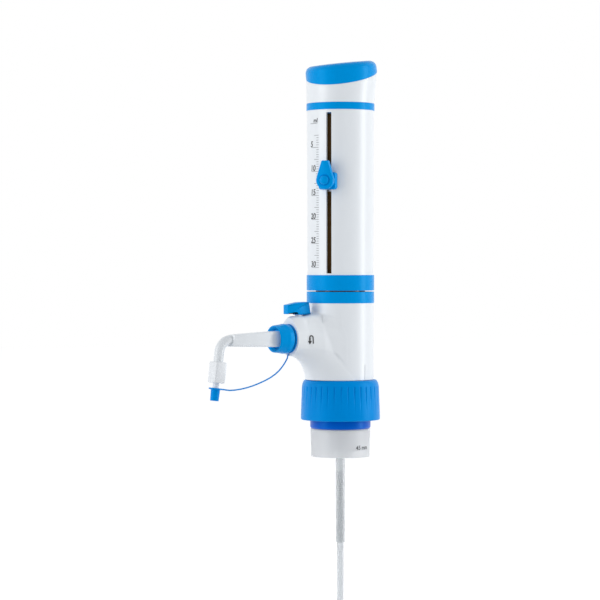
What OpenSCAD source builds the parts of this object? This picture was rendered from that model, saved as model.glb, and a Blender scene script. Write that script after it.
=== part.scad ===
// Bottle top dispenser, 30 ml size, for a bottle with a 45 mm screw neck.
// +Z is up, the nozzle points along -X, and the origin is the centre of the
// sealing face that rests on the bottle's rim. Lengths are in millimetres.

/* [Bottle connection] */
// Outside diameter of the bottle's thread
bottle_thread_d = 45; // [44:0.1:46]
// Play between the bottle's thread and the adapter's bore
thread_play = 0.1; // [0.05:0.05:0.2]
// Wall of the adapter's skirt
adapter_wall = 2.4; // [2:0.1:3]
// How far the skirt reaches down the bottle's neck
skirt_h = 21.7; // [18:0.1:24]
// Hole through the adapter for the valve and the tubes
adapter_hole_d = 30; // [29:0.5:32]
// Thickness of the sealing ring on the bottle's rim
seal_t = 1; // [0.6:0.1:1.4]
// Outside diameter of the ribbed collar at its foot
collar_d = 67.5; // [66:0.5:72]
// Height of the ribbed collar
collar_h = 34; // [32:0.5:38]
// Number of ribs round the collar
rib_count = 36; // [24:1:44]

/* [Valve head] */
// Diameter of the white head
head_d = 56.4; // [55:0.2:58]
// Height of the white head above the collar
head_h = 64.8; // [63:0.2:68]
// Height of the coloured band on top of the head
band_h = 9.6; // [8:0.2:12]
// Diameter of the nozzle boss
boss_d = 27; // [26:0.5:28]
// Length of the nozzle boss from the axis
boss_reach = 53.5; // [52:0.5:56]
// Radius of the curve under the boss
boss_sweep_r = 27.6; // [26:0.2:30]
// Distance of the recirculation valve from the end of the boss
spindle_inset = 9.8; // [8.4:0.2:11]

/* [Measuring unit] */
// Bore of the glass barrel
bore_d = 17.75; // [17:0.05:19]
// Wall of the glass barrel
glass_wall = 1.7; // [1.4:0.1:2]
// Outside diameter of the protective tube
guard_d = 42; // [40:0.5:43]
// Wall of the protective tube
guard_wall = 1.5; // [1.2:0.1:2]
// Height of the white sleeve above its lower ring
sleeve_h = 140.3; // [138:0.1:150]
// Diameter of the sleeve at its foot
sleeve_d = 56; // [55:0.2:58]
// How much wider the sleeve is at its top
sleeve_draft = 1; // [0:0.1:1.6]
// Wall of the sleeve
sleeve_wall = 2.2; // [1.8:0.1:2.6]
// Width of the slot for the volume setting
slot_w = 4.5; // [4:0.1:5.5]
// Height of the sleeve's lower ring
ring_h = 13.1; // [11:0.1:15]
// Gap between the head and the sleeve when it is down
rest_gap = 1; // [0.5:0.1:2]
// Length of one millilitre of stroke
ml_h = 4.04; // [3.8:0.02:4.2]
// Volume that is set, in millilitres
set_ml = 12.2; // [3:0.1:20]

/* [Volume setting] */
// Width of the sliding block
block_w = 15; // [13:0.5:17]
// How far the block stands out of the sleeve
block_t = 4.7; // [4:0.1:6]
// Length of the lever from its screw to its tip
lever_reach = 16.5; // [14:0.5:18]
// Radius of the lever's round end
lever_r = 7.6; // [6.5:0.1:8.2]
// Thickness of the lever
lever_t = 5.6; // [4.5:0.1:6.5]

/* [Top grip] */
// Height of the thin coloured band
top_band_h = 6.5; // [5:0.5:8]
// Height of the grip above the thin band
grip_h = 33.2; // [32:0.5:38]
// How far the grip leans out at the back
grip_shift = 2.4; // [1:0.1:6]
// Diameter of the grip at its top
grip_d = 60.6; // [58:0.2:62]
// Tilt of the line between the housing and the cap
grip_cut_tilt = 18; // [12:0.5:22]

/* [Nozzle] */
// Height of the nozzle above the bottle's rim
nozzle_z = 79; // [78:0.1:80]
// Diameter of the lock nut at its foot
nut_d = 25.2; // [24.6:0.1:26.5]
// Diameter of the lock nut at its face
nut_face_d = 21.8; // [21.4:0.1:23]
// Length of the lock nut
nut_h = 13.6; // [12.5:0.1:15]
// Length of the arm outside the nut
arm_reach = 44.4; // [40:0.2:52]
// Height of the arm at the nut
arm_root_h = 13.1; // [12:0.1:13.4]
// Height of the arm at its end
arm_end_h = 9.8; // [9.6:0.1:11]
// Width of the arm
arm_w = 10.6; // [10:0.1:11.2]
// Outside diameter of the delivery tube
tube_d = 8; // [7.4:0.1:8.4]
// Bore of the delivery tube
tube_bore = 5.6; // [4.6:0.1:6]
// Radius of the delivery tube's bend, at its middle
bend_r = 11; // [10:0.5:13]
// Angle of the delivery tube's bend
bend_deg = 83; // [80:1:90]
// Length of the delivery tube below the bend
leg_h = 23.5; // [20:0.5:27]
// Length of the adjustable end sleeve
tip_sleeve_h = 18.1; // [16:0.1:20]
// Diameter of the tip
tip_d = 5.2; // [4.8:0.1:5.6]
// Length of the tip below the end sleeve
tip_h = 12.5; // [11:0.5:14]
// Length of the tip's cap
cap_h = 10.6; // [9:0.2:12]

/* [Tubes in the bottle] */
// Outside diameter of the feed tube
feed_d = 7.8; // [7:0.1:8.4]
// Wall of the feed tube
feed_wall = 0.9; // [0.7:0.1:1.1]
// How far the fixed part of the feed tube reaches below the rim
feed_fixed_h = 95; // [80:1:120]
// How far the sliding part of the feed tube reaches below the rim
feed_h = 168; // [150:1:200]

/* [Hidden] */
$fn = 96;

// Clearances: a running fit, a fixed piece in its seat, and two pieces that
// pass each other
fit = 0.05;
seat = 0.1;
pass = 0.3;
long = 400;

white = "whitesmoke";
blue = "dodgerblue";
natural = "gainsboro";

// Bottle connection, from the rim upwards
adapter_r = bottle_thread_d / 2 + thread_play;
adapter_out_r = adapter_r + adapter_wall;
adapter_flare = 0.3;
adapter_hole_r = adapter_hole_d / 2;
web_z = seal_t + 1.1;
spigot_r = adapter_hole_r + 4.3;
spigot_h = 17.9;
spigot_z = web_z + spigot_h;
thread_ring_r = adapter_out_r + 0.7;
thread_ring_z = spigot_z + 3;
flange_r = spigot_r + 3.3;
flange_h = 3.7;
flange_z = thread_ring_z + pass;
lip_z = flange_z + flange_h + pass;
neck_r = flange_r - 1.6;
collar_lift = 7.3;
collar_z = web_z + collar_lift;
collar_top_z = collar_z + collar_h;
collar_r = collar_d / 2;
collar_taper = 1;
collar_shoulder = 4.4;
collar_shoulder_h = 6.4;
collar_wall = 3.4;
rib_r = 1.1;

// Valve head
head_r = head_d / 2;
head_z = collar_top_z + pass;
head_top_z = head_z + head_h;
head_bore_r = 13;
head_floor_z = head_top_z - 11.5;
band_r = head_r + 0.5;
band_top_z = head_top_z + band_h;
boss_r = boss_d / 2;
boss_overrun = 4.5;
sweep_z = nozzle_z - boss_r - boss_sweep_r;
shelf_z = nozzle_z + boss_r + 5;
shelf_r = 9.5;
shelf_edge_r = 4;
shelf_fillet_r = 6;
nut_thread_r = 10.3;
nut_thread_l = 6.2;
insert_r = 6.1;
insert_bore_r = insert_r + seat;

// Valves
block_r = head_bore_r - seat;
block_z = head_z - 3.7;
suction_r = 7.2;
suction_z = flange_z + 0.7;
suction_top_z = block_z + 12;
suction_floor_z = suction_top_z - 6;
ball_r = 3;
seat_hole_r = 2;
nipple_l = 18;
return_x = 9.9;
return_r = 2;
return_wall = 0.6;
return_h = 18;
spindle_x = boss_reach - spindle_inset;
valve_gap = 17.7;
discharge_x = spindle_x - valve_gap;
discharge_ball_r = 2.5;
discharge_hole_r = 1.6;
discharge_floor_z = nozzle_z - 3.4;
channel_r = 1.5;
spindle_r = 2.95;
spindle_foot_z = nozzle_z - 2.7;
spindle_top_z = shelf_z + 6;
spindle_seal_r = 4.7;
spindle_seal_z = shelf_z - 4;
spindle_seal_h = 1.8;
knob_z = shelf_z + 1.4;
knob_h = 10.8;
knob_rise = 1.6;
knob_w = 7.4;
knob_front = 13.1;
knob_rear = 10.5;

// Measuring unit
bore_r = bore_d / 2;
glass_r = bore_r + glass_wall;
guard_r = guard_d / 2;
guard_bore_r = guard_r - guard_wall;
ring_z = band_top_z + rest_gap;
ring_r = head_r + 0.5;
sleeve_z = ring_z + ring_h;
sleeve_r = sleeve_d / 2;
sleeve_top_r = sleeve_r + sleeve_draft / 2;
sleeve_bore_r = sleeve_r - sleeve_wall;
sleeve_top_z = sleeve_z + sleeve_h;
slot_dir = 213.5;
slot_foot_z = sleeve_z + 1.4;
slot_top_z = sleeve_top_z - 3.7;
zero_inset = 12.7;
zero_z = sleeve_top_z - zero_inset;
stroke = set_ml * ml_h;
index_z = zero_z - stroke;
plate_half_h = 8;
plate_w = 12;
plate_x = guard_r + 0.6;
plate_t = 2.6;
shank_half_h = 4.5;
shank_w = slot_w - 0.4;
stop_z = zero_z + plate_half_h + pass;
stop_h = 3.5;
glass_inset = 6.1;
glass_h = stop_z - head_floor_z - glass_inset;
stop_r = sleeve_bore_r - 1.4;
barrel_nut_h = 7;
barrel_seal_z = head_floor_z + 2;
barrel_seal_h = 2;
barrel_seal_w = 1.7;
rod_r = 4;
rod_tip_r = 3;
piston_z = head_floor_z + 2;
piston_h = 10;
piston_ring_z = piston_z + 3;
piston_ring_h = 3;
piston_groove_r = bore_r - 1.3;

// Volume setting, in a frame whose +X points out of the slot
block_inner_r = sleeve_top_r + pass;
block_face_x = block_inner_r + block_t;
shank_end_r = block_inner_r + 2.6;
block_low = 6.6;
block_high = 7.8;
screw_z = 1;
screw_r = 1.45;
lever_x = block_face_x + pass;
lever_tip_r = 3.2;
dome_r = 4;
dome_h = 3;

// Top grip
top_band_r = sleeve_top_r + 0.4;
grip_z = sleeve_top_z + top_band_h;
grip_top_z = grip_z + grip_h;
grip_cut_h = 22.2;
grip_cut_z = grip_z + grip_cut_h;
grip_edge_r = 6;
grip_puck_h = 11;
grip_tilt = 7;
grip_wall = 2.4;
plate_h = 4.5;
hub_r = 7;
hub_h = 7;
thread_l = 8;
hex_r = 5.6;
hex_h = 5;

// Nozzle, measured outwards from the axis
nut_x = boss_reach + 1.9;
nut_end_x = nut_x + nut_h;
nut_lip = 6;
nut_bore_r = nut_thread_r + pass;
nut_opening_r = 9.2;
arm_flange_r = nut_thread_r - pass;
arm_flange_x = boss_reach + nut_thread_l + 0.5;
arm_flange_t = 2.1;
arm_x = arm_flange_x + arm_flange_t;
arm_end_x = nut_end_x + arm_reach - 1;
arm_end_slant = 0.9;
arm_drop = 0.5;
arm_edge_r = 1.6;
tube_r = tube_d / 2;
tube_bore_r = tube_bore / 2;
tube_root_x = arm_x + 4;
bend_end_x = arm_end_x + bend_r * sin(bend_deg);
bend_end_z = nozzle_z - bend_r * (1 - cos(bend_deg));
lean = 90 - bend_deg;
bend_steps = 9;
tube_sides = 32;
tip_sleeve_s = 7.4;
tip_sleeve_end = tip_sleeve_s + tip_sleeve_h;
tip_sleeve_x = tube_d + 1.6;
tip_sleeve_y = tube_d + 3;
tip_sleeve_floor = 1.5;
tip_edge_r = 1.8;
tip_r = tip_d / 2;
tip_bore_r = 1.4;
cap_s = tip_sleeve_end + 4.2;
cap_r = tip_r + 1.2;
cap_taper = 0.3;
cap_flange_r = tip_r + 3.1;
cap_flange_t = 1.1;
tether_ring_r = nut_d / 2 - 0.3;
tether_ring_t = 1.2;

// Tubes in the bottle
feed_r = feed_d / 2;
feed_bore_r = feed_r - feed_wall;
feed_top_z = suction_z - 2.5;
feed_slide_r = feed_bore_r - seat;
feed_slide_wall = 0.8;
feed_slide_top = 35;

// The tether's middle line from the ring behind the nut to the tip's cap
tether_r = 0.5;
tether_route = [
    [-54.2, 0, 66.4], [-55.2, 0, 62.6], [-57.4, 0, 59.2], [-60, 0, 56],
    [-63.4, 0, 52.6], [-67.5, 0, 49.6], [-72.5, 0, 46.8], [-78, 0, 44.5],
    [-84, 0, 42.4], [-90, 0, 40.6], [-96, 0, 39.2], [-102, 0, 38.2],
    [-108, 0, 37.6], [-113, 0, 37.5], [-117, 0, 38], [-121, 0, 38.6]
];

module ring_shape(inner, outer, low, high) {
    translate([0, 0, low])
        difference() {
            cylinder(r = outer, h = high - low);
            translate([0, 0, -1]) cylinder(r = inner, h = high - low + 2);
        }
}

// A flat plate with round corners, centred on the axis
module round_plate(w, h, t, r) {
    linear_extrude(t) {
        square([w - 2 * r, h], center = true);
        square([w, h - 2 * r], center = true);
        for (x = [-1, 1], y = [-1, 1])
            translate([x * (w / 2 - r), y * (h / 2 - r)]) circle(r = r, $fn = 32);
    }
}

// Turns a piece made along +Z so that it points out along the nozzle
module along_nozzle(x) {
    translate([-x, 0, nozzle_z]) rotate([0, -90, 0]) children();
}

// The frame at the end of the bend, with -Z down the delivery tube
module on_leg(s) {
    translate([-bend_end_x, 0, bend_end_z]) rotate([0, lean, 0])
        translate([0, 0, -s]) children();
}

module facing_slot() {
    rotate([0, 0, slot_dir]) children();
}

// ---- Bottle connection ----

module bottle_adapter() {
    color(natural) rotate_extrude() polygon([
        [adapter_r, -skirt_h], [adapter_out_r - 0.2, -skirt_h],
        [adapter_out_r + adapter_flare, web_z - 0.8],
        [adapter_out_r + adapter_flare - 0.8, web_z], [spigot_r, web_z],
        [spigot_r, spigot_z], [adapter_hole_r, spigot_z],
        [adapter_hole_r, seal_t], [adapter_r, seal_t]
    ]);
}

module rim_seal() {
    color("white") ring_shape(adapter_hole_r, adapter_r - seat, 0, seal_t);
}

module thread_ring() {
    color("royalblue") rotate_extrude() polygon([
        [spigot_r + seat, web_z], [thread_ring_r - 0.9, web_z],
        [thread_ring_r, web_z + 1.2], [thread_ring_r, lip_z],
        [flange_r + pass, lip_z], [flange_r + pass, thread_ring_z],
        [spigot_r + seat, thread_ring_z]
    ]);
}

module collar_grip() {
    shoulder_z = collar_top_z - collar_shoulder_h;
    top_r = collar_r - collar_taper;
    color(blue) difference() {
        rotate_extrude() polygon([
            [collar_r - collar_wall, collar_z], [collar_r - 0.5, collar_z],
            [collar_r, collar_z + 0.8], [top_r, shoulder_z],
            for (a = [10:10:80])
                [top_r - collar_shoulder * (1 - cos(a)),
                 shoulder_z + collar_shoulder_h * sin(a)],
            [top_r - collar_shoulder, collar_top_z],
            [neck_r + pass, collar_top_z], [neck_r + pass, lip_z],
            [collar_r - collar_wall, lip_z]
        ]);
        for (i = [0:rib_count - 1])
            rotate([0, 0, i * 360 / rib_count])
                translate([collar_r + 0.55 * rib_r, 0, collar_z - 1])
                    rotate([0, -atan(collar_taper / collar_h), 0])
                        cylinder(r = rib_r, h = collar_h - 3, $fn = 24);
    }
}

// ---- Valve head ----

module head_shell() {
    // lower flange, neck and main cylinder
    cylinder(r = neck_r, h = long / 4);
    translate([0, 0, flange_z]) cylinder(r = flange_r, h = flange_h);
    translate([0, 0, head_z]) cylinder(r = head_r, h = head_h);
}

module boss_shell() {
    top_half = shelf_r - shelf_edge_r;
    // round boss and the curve that carries it down into the head
    along_nozzle(0) cylinder(r = boss_r, h = boss_reach);
    translate([-boss_reach - boss_overrun, 0, sweep_z]) rotate([90, 0, 0])
        rotate_extrude(angle = 90)
            translate([boss_sweep_r + boss_r, 0]) circle(r = boss_r);
    // shelf under the recirculation knob, with a round edge
    translate([-spindle_x, 0, nozzle_z]) rotate_extrude() shelf_profile();
    translate([-spindle_x, 0, nozzle_z]) rotate([90, 0, 90])
        linear_extrude(spindle_x - head_bore_r) {
            shelf_profile();
            mirror([1, 0]) shelf_profile();
        }
    // fillet between the shelf and the head
    translate([0, top_half, 0]) rotate([90, 0, 0])
        linear_extrude(2 * top_half) difference() {
            translate([-head_r - shelf_fillet_r, shelf_z - 1])
                square([shelf_fillet_r + 5, shelf_fillet_r + 1]);
            translate([-head_r - shelf_fillet_r, shelf_z + shelf_fillet_r])
                circle(r = shelf_fillet_r);
        }
}

module shelf_profile() {
    h = shelf_z - nozzle_z;
    square([shelf_r - shelf_edge_r, h]);
    square([shelf_r, h - shelf_edge_r]);
    intersection() {
        translate([shelf_r - shelf_edge_r, h - shelf_edge_r])
            circle(r = shelf_edge_r, $fn = 48);
        square([shelf_r, h]);
    }
}

module valve_head() {
    color(white) difference() {
        union() {
            intersection() {
                head_shell();
                translate([0, 0, flange_z]) cylinder(r = long, h = head_top_z - flange_z);
            }
            intersection() {
                boss_shell();
                translate([-boss_reach, -long / 2, head_z]) cube([boss_reach, long, head_h]);
            }
            along_nozzle(0) cylinder(r = nut_thread_r, h = boss_reach + nut_thread_l);
        }
        translate([0, 0, flange_z - 1]) cylinder(r = head_bore_r, h = long);
        translate([0, 0, head_floor_z]) cylinder(r = guard_r + seat, h = long);
        along_nozzle(0) cylinder(r = insert_bore_r, h = long);
        translate([-spindle_x, 0, nozzle_z]) cylinder(r = spindle_r + fit, h = long);
        translate([-spindle_x, 0, spindle_seal_z])
            cylinder(r = spindle_seal_r + fit, h = spindle_seal_h + 0.2);
    }
}

module head_band() {
    color(blue) ring_shape(guard_r + seat, band_r, head_top_z, band_top_z);
}

// ---- Valves and tubes ----

module valve_block() {
    color("white") difference() {
        translate([0, 0, block_z]) cylinder(r = block_r, h = head_floor_z - block_z);
        translate([0, 0, block_z - 1]) cylinder(r = suction_r + seat, h = suction_top_z - block_z + 1);
        cylinder(r = 2.5, h = long);
        along_nozzle(0) cylinder(r = channel_r, h = long);
        translate([-return_x, 0, block_z - 1]) cylinder(r = return_r + fit, h = 7);
    }
}

module suction_valve() {
    color("white") difference() {
        union() {
            translate([0, 0, suction_z]) cylinder(r = suction_r, h = suction_top_z - suction_z);
            translate([0, 0, suction_z - nipple_l]) cylinder(r = feed_bore_r - fit, h = nipple_l + 1);
        }
        cylinder(r = seat_hole_r, h = long, center = true);
        translate([0, 0, suction_floor_z]) cylinder(r = ball_r + 0.8, h = long);
    }
}

module suction_ball() {
    rise = sqrt(pow(ball_r, 2) - pow(seat_hole_r, 2));
    color("silver") translate([0, 0, suction_floor_z + rise + 0.02]) sphere(r = ball_r);
}

module feed_tube_fixed() {
    color(natural) ring_shape(feed_bore_r, feed_r, -feed_fixed_h, feed_top_z);
}

module feed_tube_sliding() {
    color(natural) difference() {
        ring_shape(feed_slide_r - feed_slide_wall, feed_slide_r, -feed_h, -feed_slide_top);
        // the foot is cut at a slant so that it can't seal on the bottle's floor
        translate([feed_slide_r, 0, -feed_h]) rotate([0, 45, 0])
            translate([-long / 2, -long / 2, -long]) cube([long, long, long]);
    }
}

module return_tube() {
    color(natural) translate([-return_x, 0, 0])
        ring_shape(return_r - return_wall, return_r, -return_h, block_z + 5);
}

module outlet_insert() {
    root_x = block_r + pass;
    color("white") difference() {
        along_nozzle(root_x) cylinder(r = insert_r, h = boss_reach + nut_thread_l - root_x);
        along_nozzle(0) cylinder(r = channel_r, h = long);
        along_nozzle(spindle_x) cylinder(r = 2.6, h = long);
        translate([-discharge_x, 0, discharge_floor_z])
            cylinder(r = discharge_ball_r + 0.8, h = 7.5);
        translate([-discharge_x, 0, discharge_floor_z - 1.6])
            cylinder(r = discharge_hole_r, h = 5);
        translate([-spindle_x, 0, spindle_foot_z - pass]) cylinder(r = spindle_r + fit, h = long);
    }
}

module discharge_ball() {
    rise = sqrt(pow(discharge_ball_r, 2) - pow(discharge_hole_r, 2));
    color("silver") translate([-discharge_x, 0, discharge_floor_z + rise + 0.02])
        sphere(r = discharge_ball_r);
}

module spindle() {
    color("white") translate([-spindle_x, 0, spindle_foot_z]) difference() {
        cylinder(r = spindle_r, h = spindle_top_z - spindle_foot_z);
        translate([0, 0, nozzle_z - spindle_foot_z]) rotate([0, 90, 0])
            cylinder(r = channel_r, h = long, center = true);
    }
}

module spindle_seal() {
    color("dimgray") translate([-spindle_x, 0, 0])
        ring_shape(spindle_r + fit, spindle_seal_r, spindle_seal_z + 0.1,
                   spindle_seal_z + 0.1 + spindle_seal_h);
}

module recirculation_knob() {
    half = knob_w / 2;
    color(blue) translate([-spindle_x, 0, knob_z]) difference() {
        intersection() {
            // side view: thin at the front, thick over the spindle
            translate([0, half, 0]) rotate([90, 0, 0]) linear_extrude(knob_w) polygon([
                [-knob_front, knob_rise - 1], [-4, knob_rise], [-3.4, 0], [knob_rear, 0.2],
                [knob_rear - 1, knob_h - 0.6], [knob_rear - 2, knob_h], [-2, knob_h - 0.2],
                [-knob_front + 2, knob_h - 2], [-knob_front, knob_h - 2.8]
            ]);
            linear_extrude(knob_h) {
                translate([-knob_front + 1.5, -half]) square([knob_front + knob_rear - 3, knob_w]);
                translate([-knob_front, -half + 1.5]) square([knob_front + knob_rear, knob_w - 3]);
                for (x = [-knob_front + 1.5, knob_rear - 1.5], y = [-1, 1])
                    translate([x, y * (half - 1.5)]) circle(r = 1.5, $fn = 32);
            }
        }
        translate([0, 0, -1]) cylinder(r = spindle_r, h = spindle_top_z - knob_z + 1);
    }
}

// ---- Nozzle ----

module tether_ring() {
    color(blue) along_nozzle(boss_reach + seat)
        ring_shape(nut_thread_r + seat, tether_ring_r, 0, tether_ring_t);
}

// A tube of eight sides swept along a route
function unit(v) = v / norm(v);
function along(route, i) = unit(route[min(i + 1, len(route) - 1)] - route[max(i - 1, 0)]);
function side_dir(t) = unit(cross(t, [0, 1, 0]));
function tube_ring(p, t, r, sides) = [
    for (k = [0:sides - 1])
        p + r * (cos(k * 360 / sides) * side_dir(t) + sin(k * 360 / sides) * [0, 1, 0])
];

module swept_tube(route, r, sides = 8) {
    n = len(route);
    points = [for (i = [0:n - 1]) each tube_ring(route[i], along(route, i), r, sides)];
    faces = [
        [for (k = [0:sides - 1]) k],
        [for (k = [sides - 1:-1:0]) (n - 1) * sides + k],
        for (i = [0:n - 2], k = [0:sides - 1])
            each [
                [i * sides + k, (i + 1) * sides + k, (i + 1) * sides + (k + 1) % sides],
                [i * sides + k, (i + 1) * sides + (k + 1) % sides, i * sides + (k + 1) % sides]
            ]
    ];
    polyhedron(points, faces);
}

// The same with a bore: an outer and an inner skin that meet at both ends
module swept_pipe(route, outer, inner, sides) {
    n = len(route);
    points = [
        for (r = [outer, inner], i = [0:n - 1])
            each tube_ring(route[i], along(route, i), r, sides)
    ];
    skin = n * sides;
    last = (n - 1) * sides;
    faces = [
        for (i = [0:n - 2], k = [0:sides - 1])
            let (a = i * sides + k, b = i * sides + (k + 1) % sides, c = a + sides, d = b + sides)
            each [[a, c, d], [a, d, b], [skin + a, skin + d, skin + c], [skin + a, skin + b, skin + d]],
        for (k = [0:sides - 1])
            let (b = (k + 1) % sides)
            each [
                [k, b, skin + b], [k, skin + b, skin + k],
                [last + k, skin + last + b, last + b], [last + k, skin + last + k, skin + last + b]
            ]
    ];
    polyhedron(points, faces);
}

module tether() {
    color(blue) swept_tube(tether_route, tether_r);
}

module nozzle_nut() {
    root_r = nut_d / 2;
    face_r = nut_face_d / 2;
    lip = nut_h - nut_lip;
    color(blue) along_nozzle(nut_x) rotate_extrude() polygon([
        [nut_bore_r, 0], [root_r - 0.8, 0], [root_r, 0.8], [root_r - 0.2, 4.4],
        [face_r + 0.5, nut_h - 1.5], [face_r, nut_h - 0.4], [face_r - 0.5, nut_h],
        [nut_opening_r + 0.5, nut_h], [nut_opening_r, nut_h - 2.5],
        [nut_opening_r, lip], [nut_bore_r, lip]
    ]);
}

module arm_sheath() {
    root_half = arm_root_h / 2;
    end_half = arm_end_h / 2;
    color(white) difference() {
        union() {
            along_nozzle(arm_flange_x) cylinder(r = arm_flange_r, h = arm_flange_t);
            intersection() {
                // side view: the arm tapers towards its slanted end
                translate([0, arm_w / 2, nozzle_z]) rotate([90, 0, 0])
                    linear_extrude(arm_w) polygon([
                        [-arm_x, root_half], [-arm_x - 9, root_half],
                        [-arm_end_x + arm_end_slant, end_half - arm_drop],
                        [-arm_end_x - arm_end_slant, -end_half - arm_drop],
                        [-arm_x, -root_half]
                    ]);
                along_nozzle(arm_x) rotate([0, 0, 90])
                    round_plate(arm_w, arm_root_h, arm_end_x - arm_x + 9, arm_edge_r);
            }
        }
        along_nozzle(0) cylinder(r = tube_r + fit, h = long);
    }
}

module delivery_tube() {
    route = [
        [-tube_root_x, 0, nozzle_z],
        for (i = [0:bend_steps])
            [-arm_end_x - bend_r * sin(i * bend_deg / bend_steps), 0,
             nozzle_z - bend_r * (1 - cos(i * bend_deg / bend_steps))],
        [-bend_end_x - leg_h * sin(lean), 0, bend_end_z - leg_h * cos(lean)]
    ];
    color(natural) swept_pipe(route, tube_r, tube_bore_r, tube_sides);
}

module tip_sleeve() {
    color(white) difference() {
        union() {
            on_leg(tip_sleeve_end)
                round_plate(tip_sleeve_x, tip_sleeve_y, tip_sleeve_h, tip_edge_r);
            on_leg(tip_sleeve_end + tip_h) cylinder(r = tip_r, h = tip_h + 1);
        }
        on_leg(tip_sleeve_end - tip_sleeve_floor) cylinder(r = tube_r + fit, h = long / 4);
        on_leg(tip_sleeve_end + tip_h + 1) cylinder(r = tip_bore_r, h = long / 4);
    }
}

module tip_cap() {
    color(blue) difference() {
        union() {
            on_leg(cap_s + cap_flange_t) cylinder(r = cap_flange_r, h = cap_flange_t);
            on_leg(cap_s + cap_h) cylinder(r1 = cap_r - cap_taper, r2 = cap_r, h = cap_h);
        }
        on_leg(cap_s + cap_h - 1.6) cylinder(r = tip_r + fit, h = long / 4);
    }
}

// ---- Measuring unit ----

module glass_barrel() {
    color("lightcyan") ring_shape(bore_r, glass_r, head_floor_z, head_floor_z + glass_h);
}

module barrel_nut() {
    outer = guard_bore_r - seat;
    color("white") difference() {
        ring_shape(glass_r + seat, outer, head_floor_z, head_floor_z + barrel_nut_h);
        translate([0, 0, barrel_seal_z - fit])
            cylinder(r = glass_r + barrel_seal_w + fit, h = barrel_seal_h + 2 * fit);
    }
}

module barrel_seal() {
    color("dimgray") ring_shape(glass_r + fit, glass_r + barrel_seal_w, barrel_seal_z,
                                barrel_seal_z + barrel_seal_h);
}

module guard_tube() {
    color("saddlebrown") ring_shape(guard_bore_r, guard_r, head_floor_z, stop_z);
}

module stop_ring() {
    color(blue) difference() {
        union() {
            translate([0, 0, stop_z]) cylinder(r = stop_r, h = stop_h);
            translate([0, 0, stop_z - 4]) cylinder(r = guard_bore_r - seat, h = 5);
        }
        translate([0, 0, stop_z - 5]) cylinder(r = guard_bore_r - 1.6, h = stop_h + 6);
    }
}

module piston() {
    color("white") difference() {
        translate([0, 0, piston_z]) cylinder(r = bore_r - fit, h = piston_h);
        ring_shape(piston_groove_r, bore_r + 1, piston_ring_z - fit,
                   piston_ring_z + piston_ring_h + fit);
        translate([0, 0, piston_z + 4]) cylinder(r = rod_tip_r + fit, h = piston_h);
    }
}

module piston_seal() {
    color("white") ring_shape(piston_groove_r + fit, bore_r - 0.02, piston_ring_z,
                              piston_ring_z + piston_ring_h);
}

module piston_rod() {
    top_z = sleeve_top_z + hub_h + plate_h;
    color("silver") {
        translate([0, 0, piston_z + piston_h]) cylinder(r = rod_r, h = top_z - piston_z - piston_h);
        translate([0, 0, piston_z + 4]) cylinder(r = rod_tip_r, h = piston_h);
        translate([0, 0, top_z - 1]) cylinder(r = rod_tip_r, h = thread_l + 1);
    }
}

module rod_plate() {
    color(white) difference() {
        union() {
            translate([0, 0, sleeve_top_z]) cylinder(r = sleeve_bore_r - seat, h = plate_h);
            translate([0, 0, sleeve_top_z]) cylinder(r = hub_r, h = plate_h + hub_h);
        }
        cylinder(r = rod_r + seat, h = long);
    }
}

module calibration_nut() {
    color("silver") translate([0, 0, sleeve_top_z + plate_h + hub_h]) difference() {
        cylinder(r = hex_r, h = hex_h, $fn = 6);
        translate([0, 0, -1]) cylinder(r = rod_tip_r + fit, h = hex_h + 2);
    }
}

// ---- Sleeve ----

module sleeve_ring() {
    color(blue) difference() {
        ring_shape(guard_r + pass, ring_r, ring_z, sleeve_z);
        translate([0, 0, ring_z + 4]) cylinder(r = sleeve_bore_r, h = ring_h);
    }
}

module measuring_sleeve() {
    color(white) difference() {
        rotate_extrude() polygon([
            [sleeve_bore_r, sleeve_z], [sleeve_r, sleeve_z],
            [sleeve_top_r, sleeve_top_z], [sleeve_bore_r, sleeve_top_z]
        ]);
        facing_slot() translate([0, -slot_w / 2, slot_foot_z])
            cube([long, slot_w, slot_top_z - slot_foot_z]);
    }
}

module top_band() {
    color(blue) ring_shape(sleeve_bore_r, top_band_r, sleeve_top_z, grip_z);
}

// The grip's outer shape or, with a wall, the space inside it
module grip_shape(wall = 0) {
    lean_x = -grip_shift;
    hull() {
        translate([0, 0, grip_z]) cylinder(r = sleeve_top_r - wall, h = 0.01, $fn = 64);
        facing_slot() translate([lean_x, 0, grip_top_z - grip_puck_h]) rotate([0, grip_tilt, 0])
            rotate_extrude($fn = 64) grip_puck(grip_d / 2 - wall, grip_puck_h - wall);
    }
}

module grip_puck(r, h) {
    polygon([
        [0, 0], [r, 0], [r, h - grip_edge_r],
        for (a = [15:15:90])
            [r - grip_edge_r * (1 - cos(a)), h - grip_edge_r * (1 - sin(a))],
        [0, h]
    ]);
}

// Everything above the slanted line between the housing and the cap
module above_cut() {
    facing_slot() translate([0, 0, grip_cut_z]) rotate([0, grip_cut_tilt, 0])
        translate([-long / 2, -long / 2, 0]) cube([long, long, long / 4]);
}

module top_housing() {
    color(white) difference() {
        grip_shape();
        grip_shape(grip_wall);
        translate([0, 0, grip_z - 1]) cylinder(r = sleeve_top_r - grip_wall, h = 1.1);
        above_cut();
    }
}

module top_cap() {
    color(blue) intersection() {
        difference() {
            grip_shape();
            grip_shape(grip_wall);
        }
        above_cut();
    }
}

// ---- Volume setting ----

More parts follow.
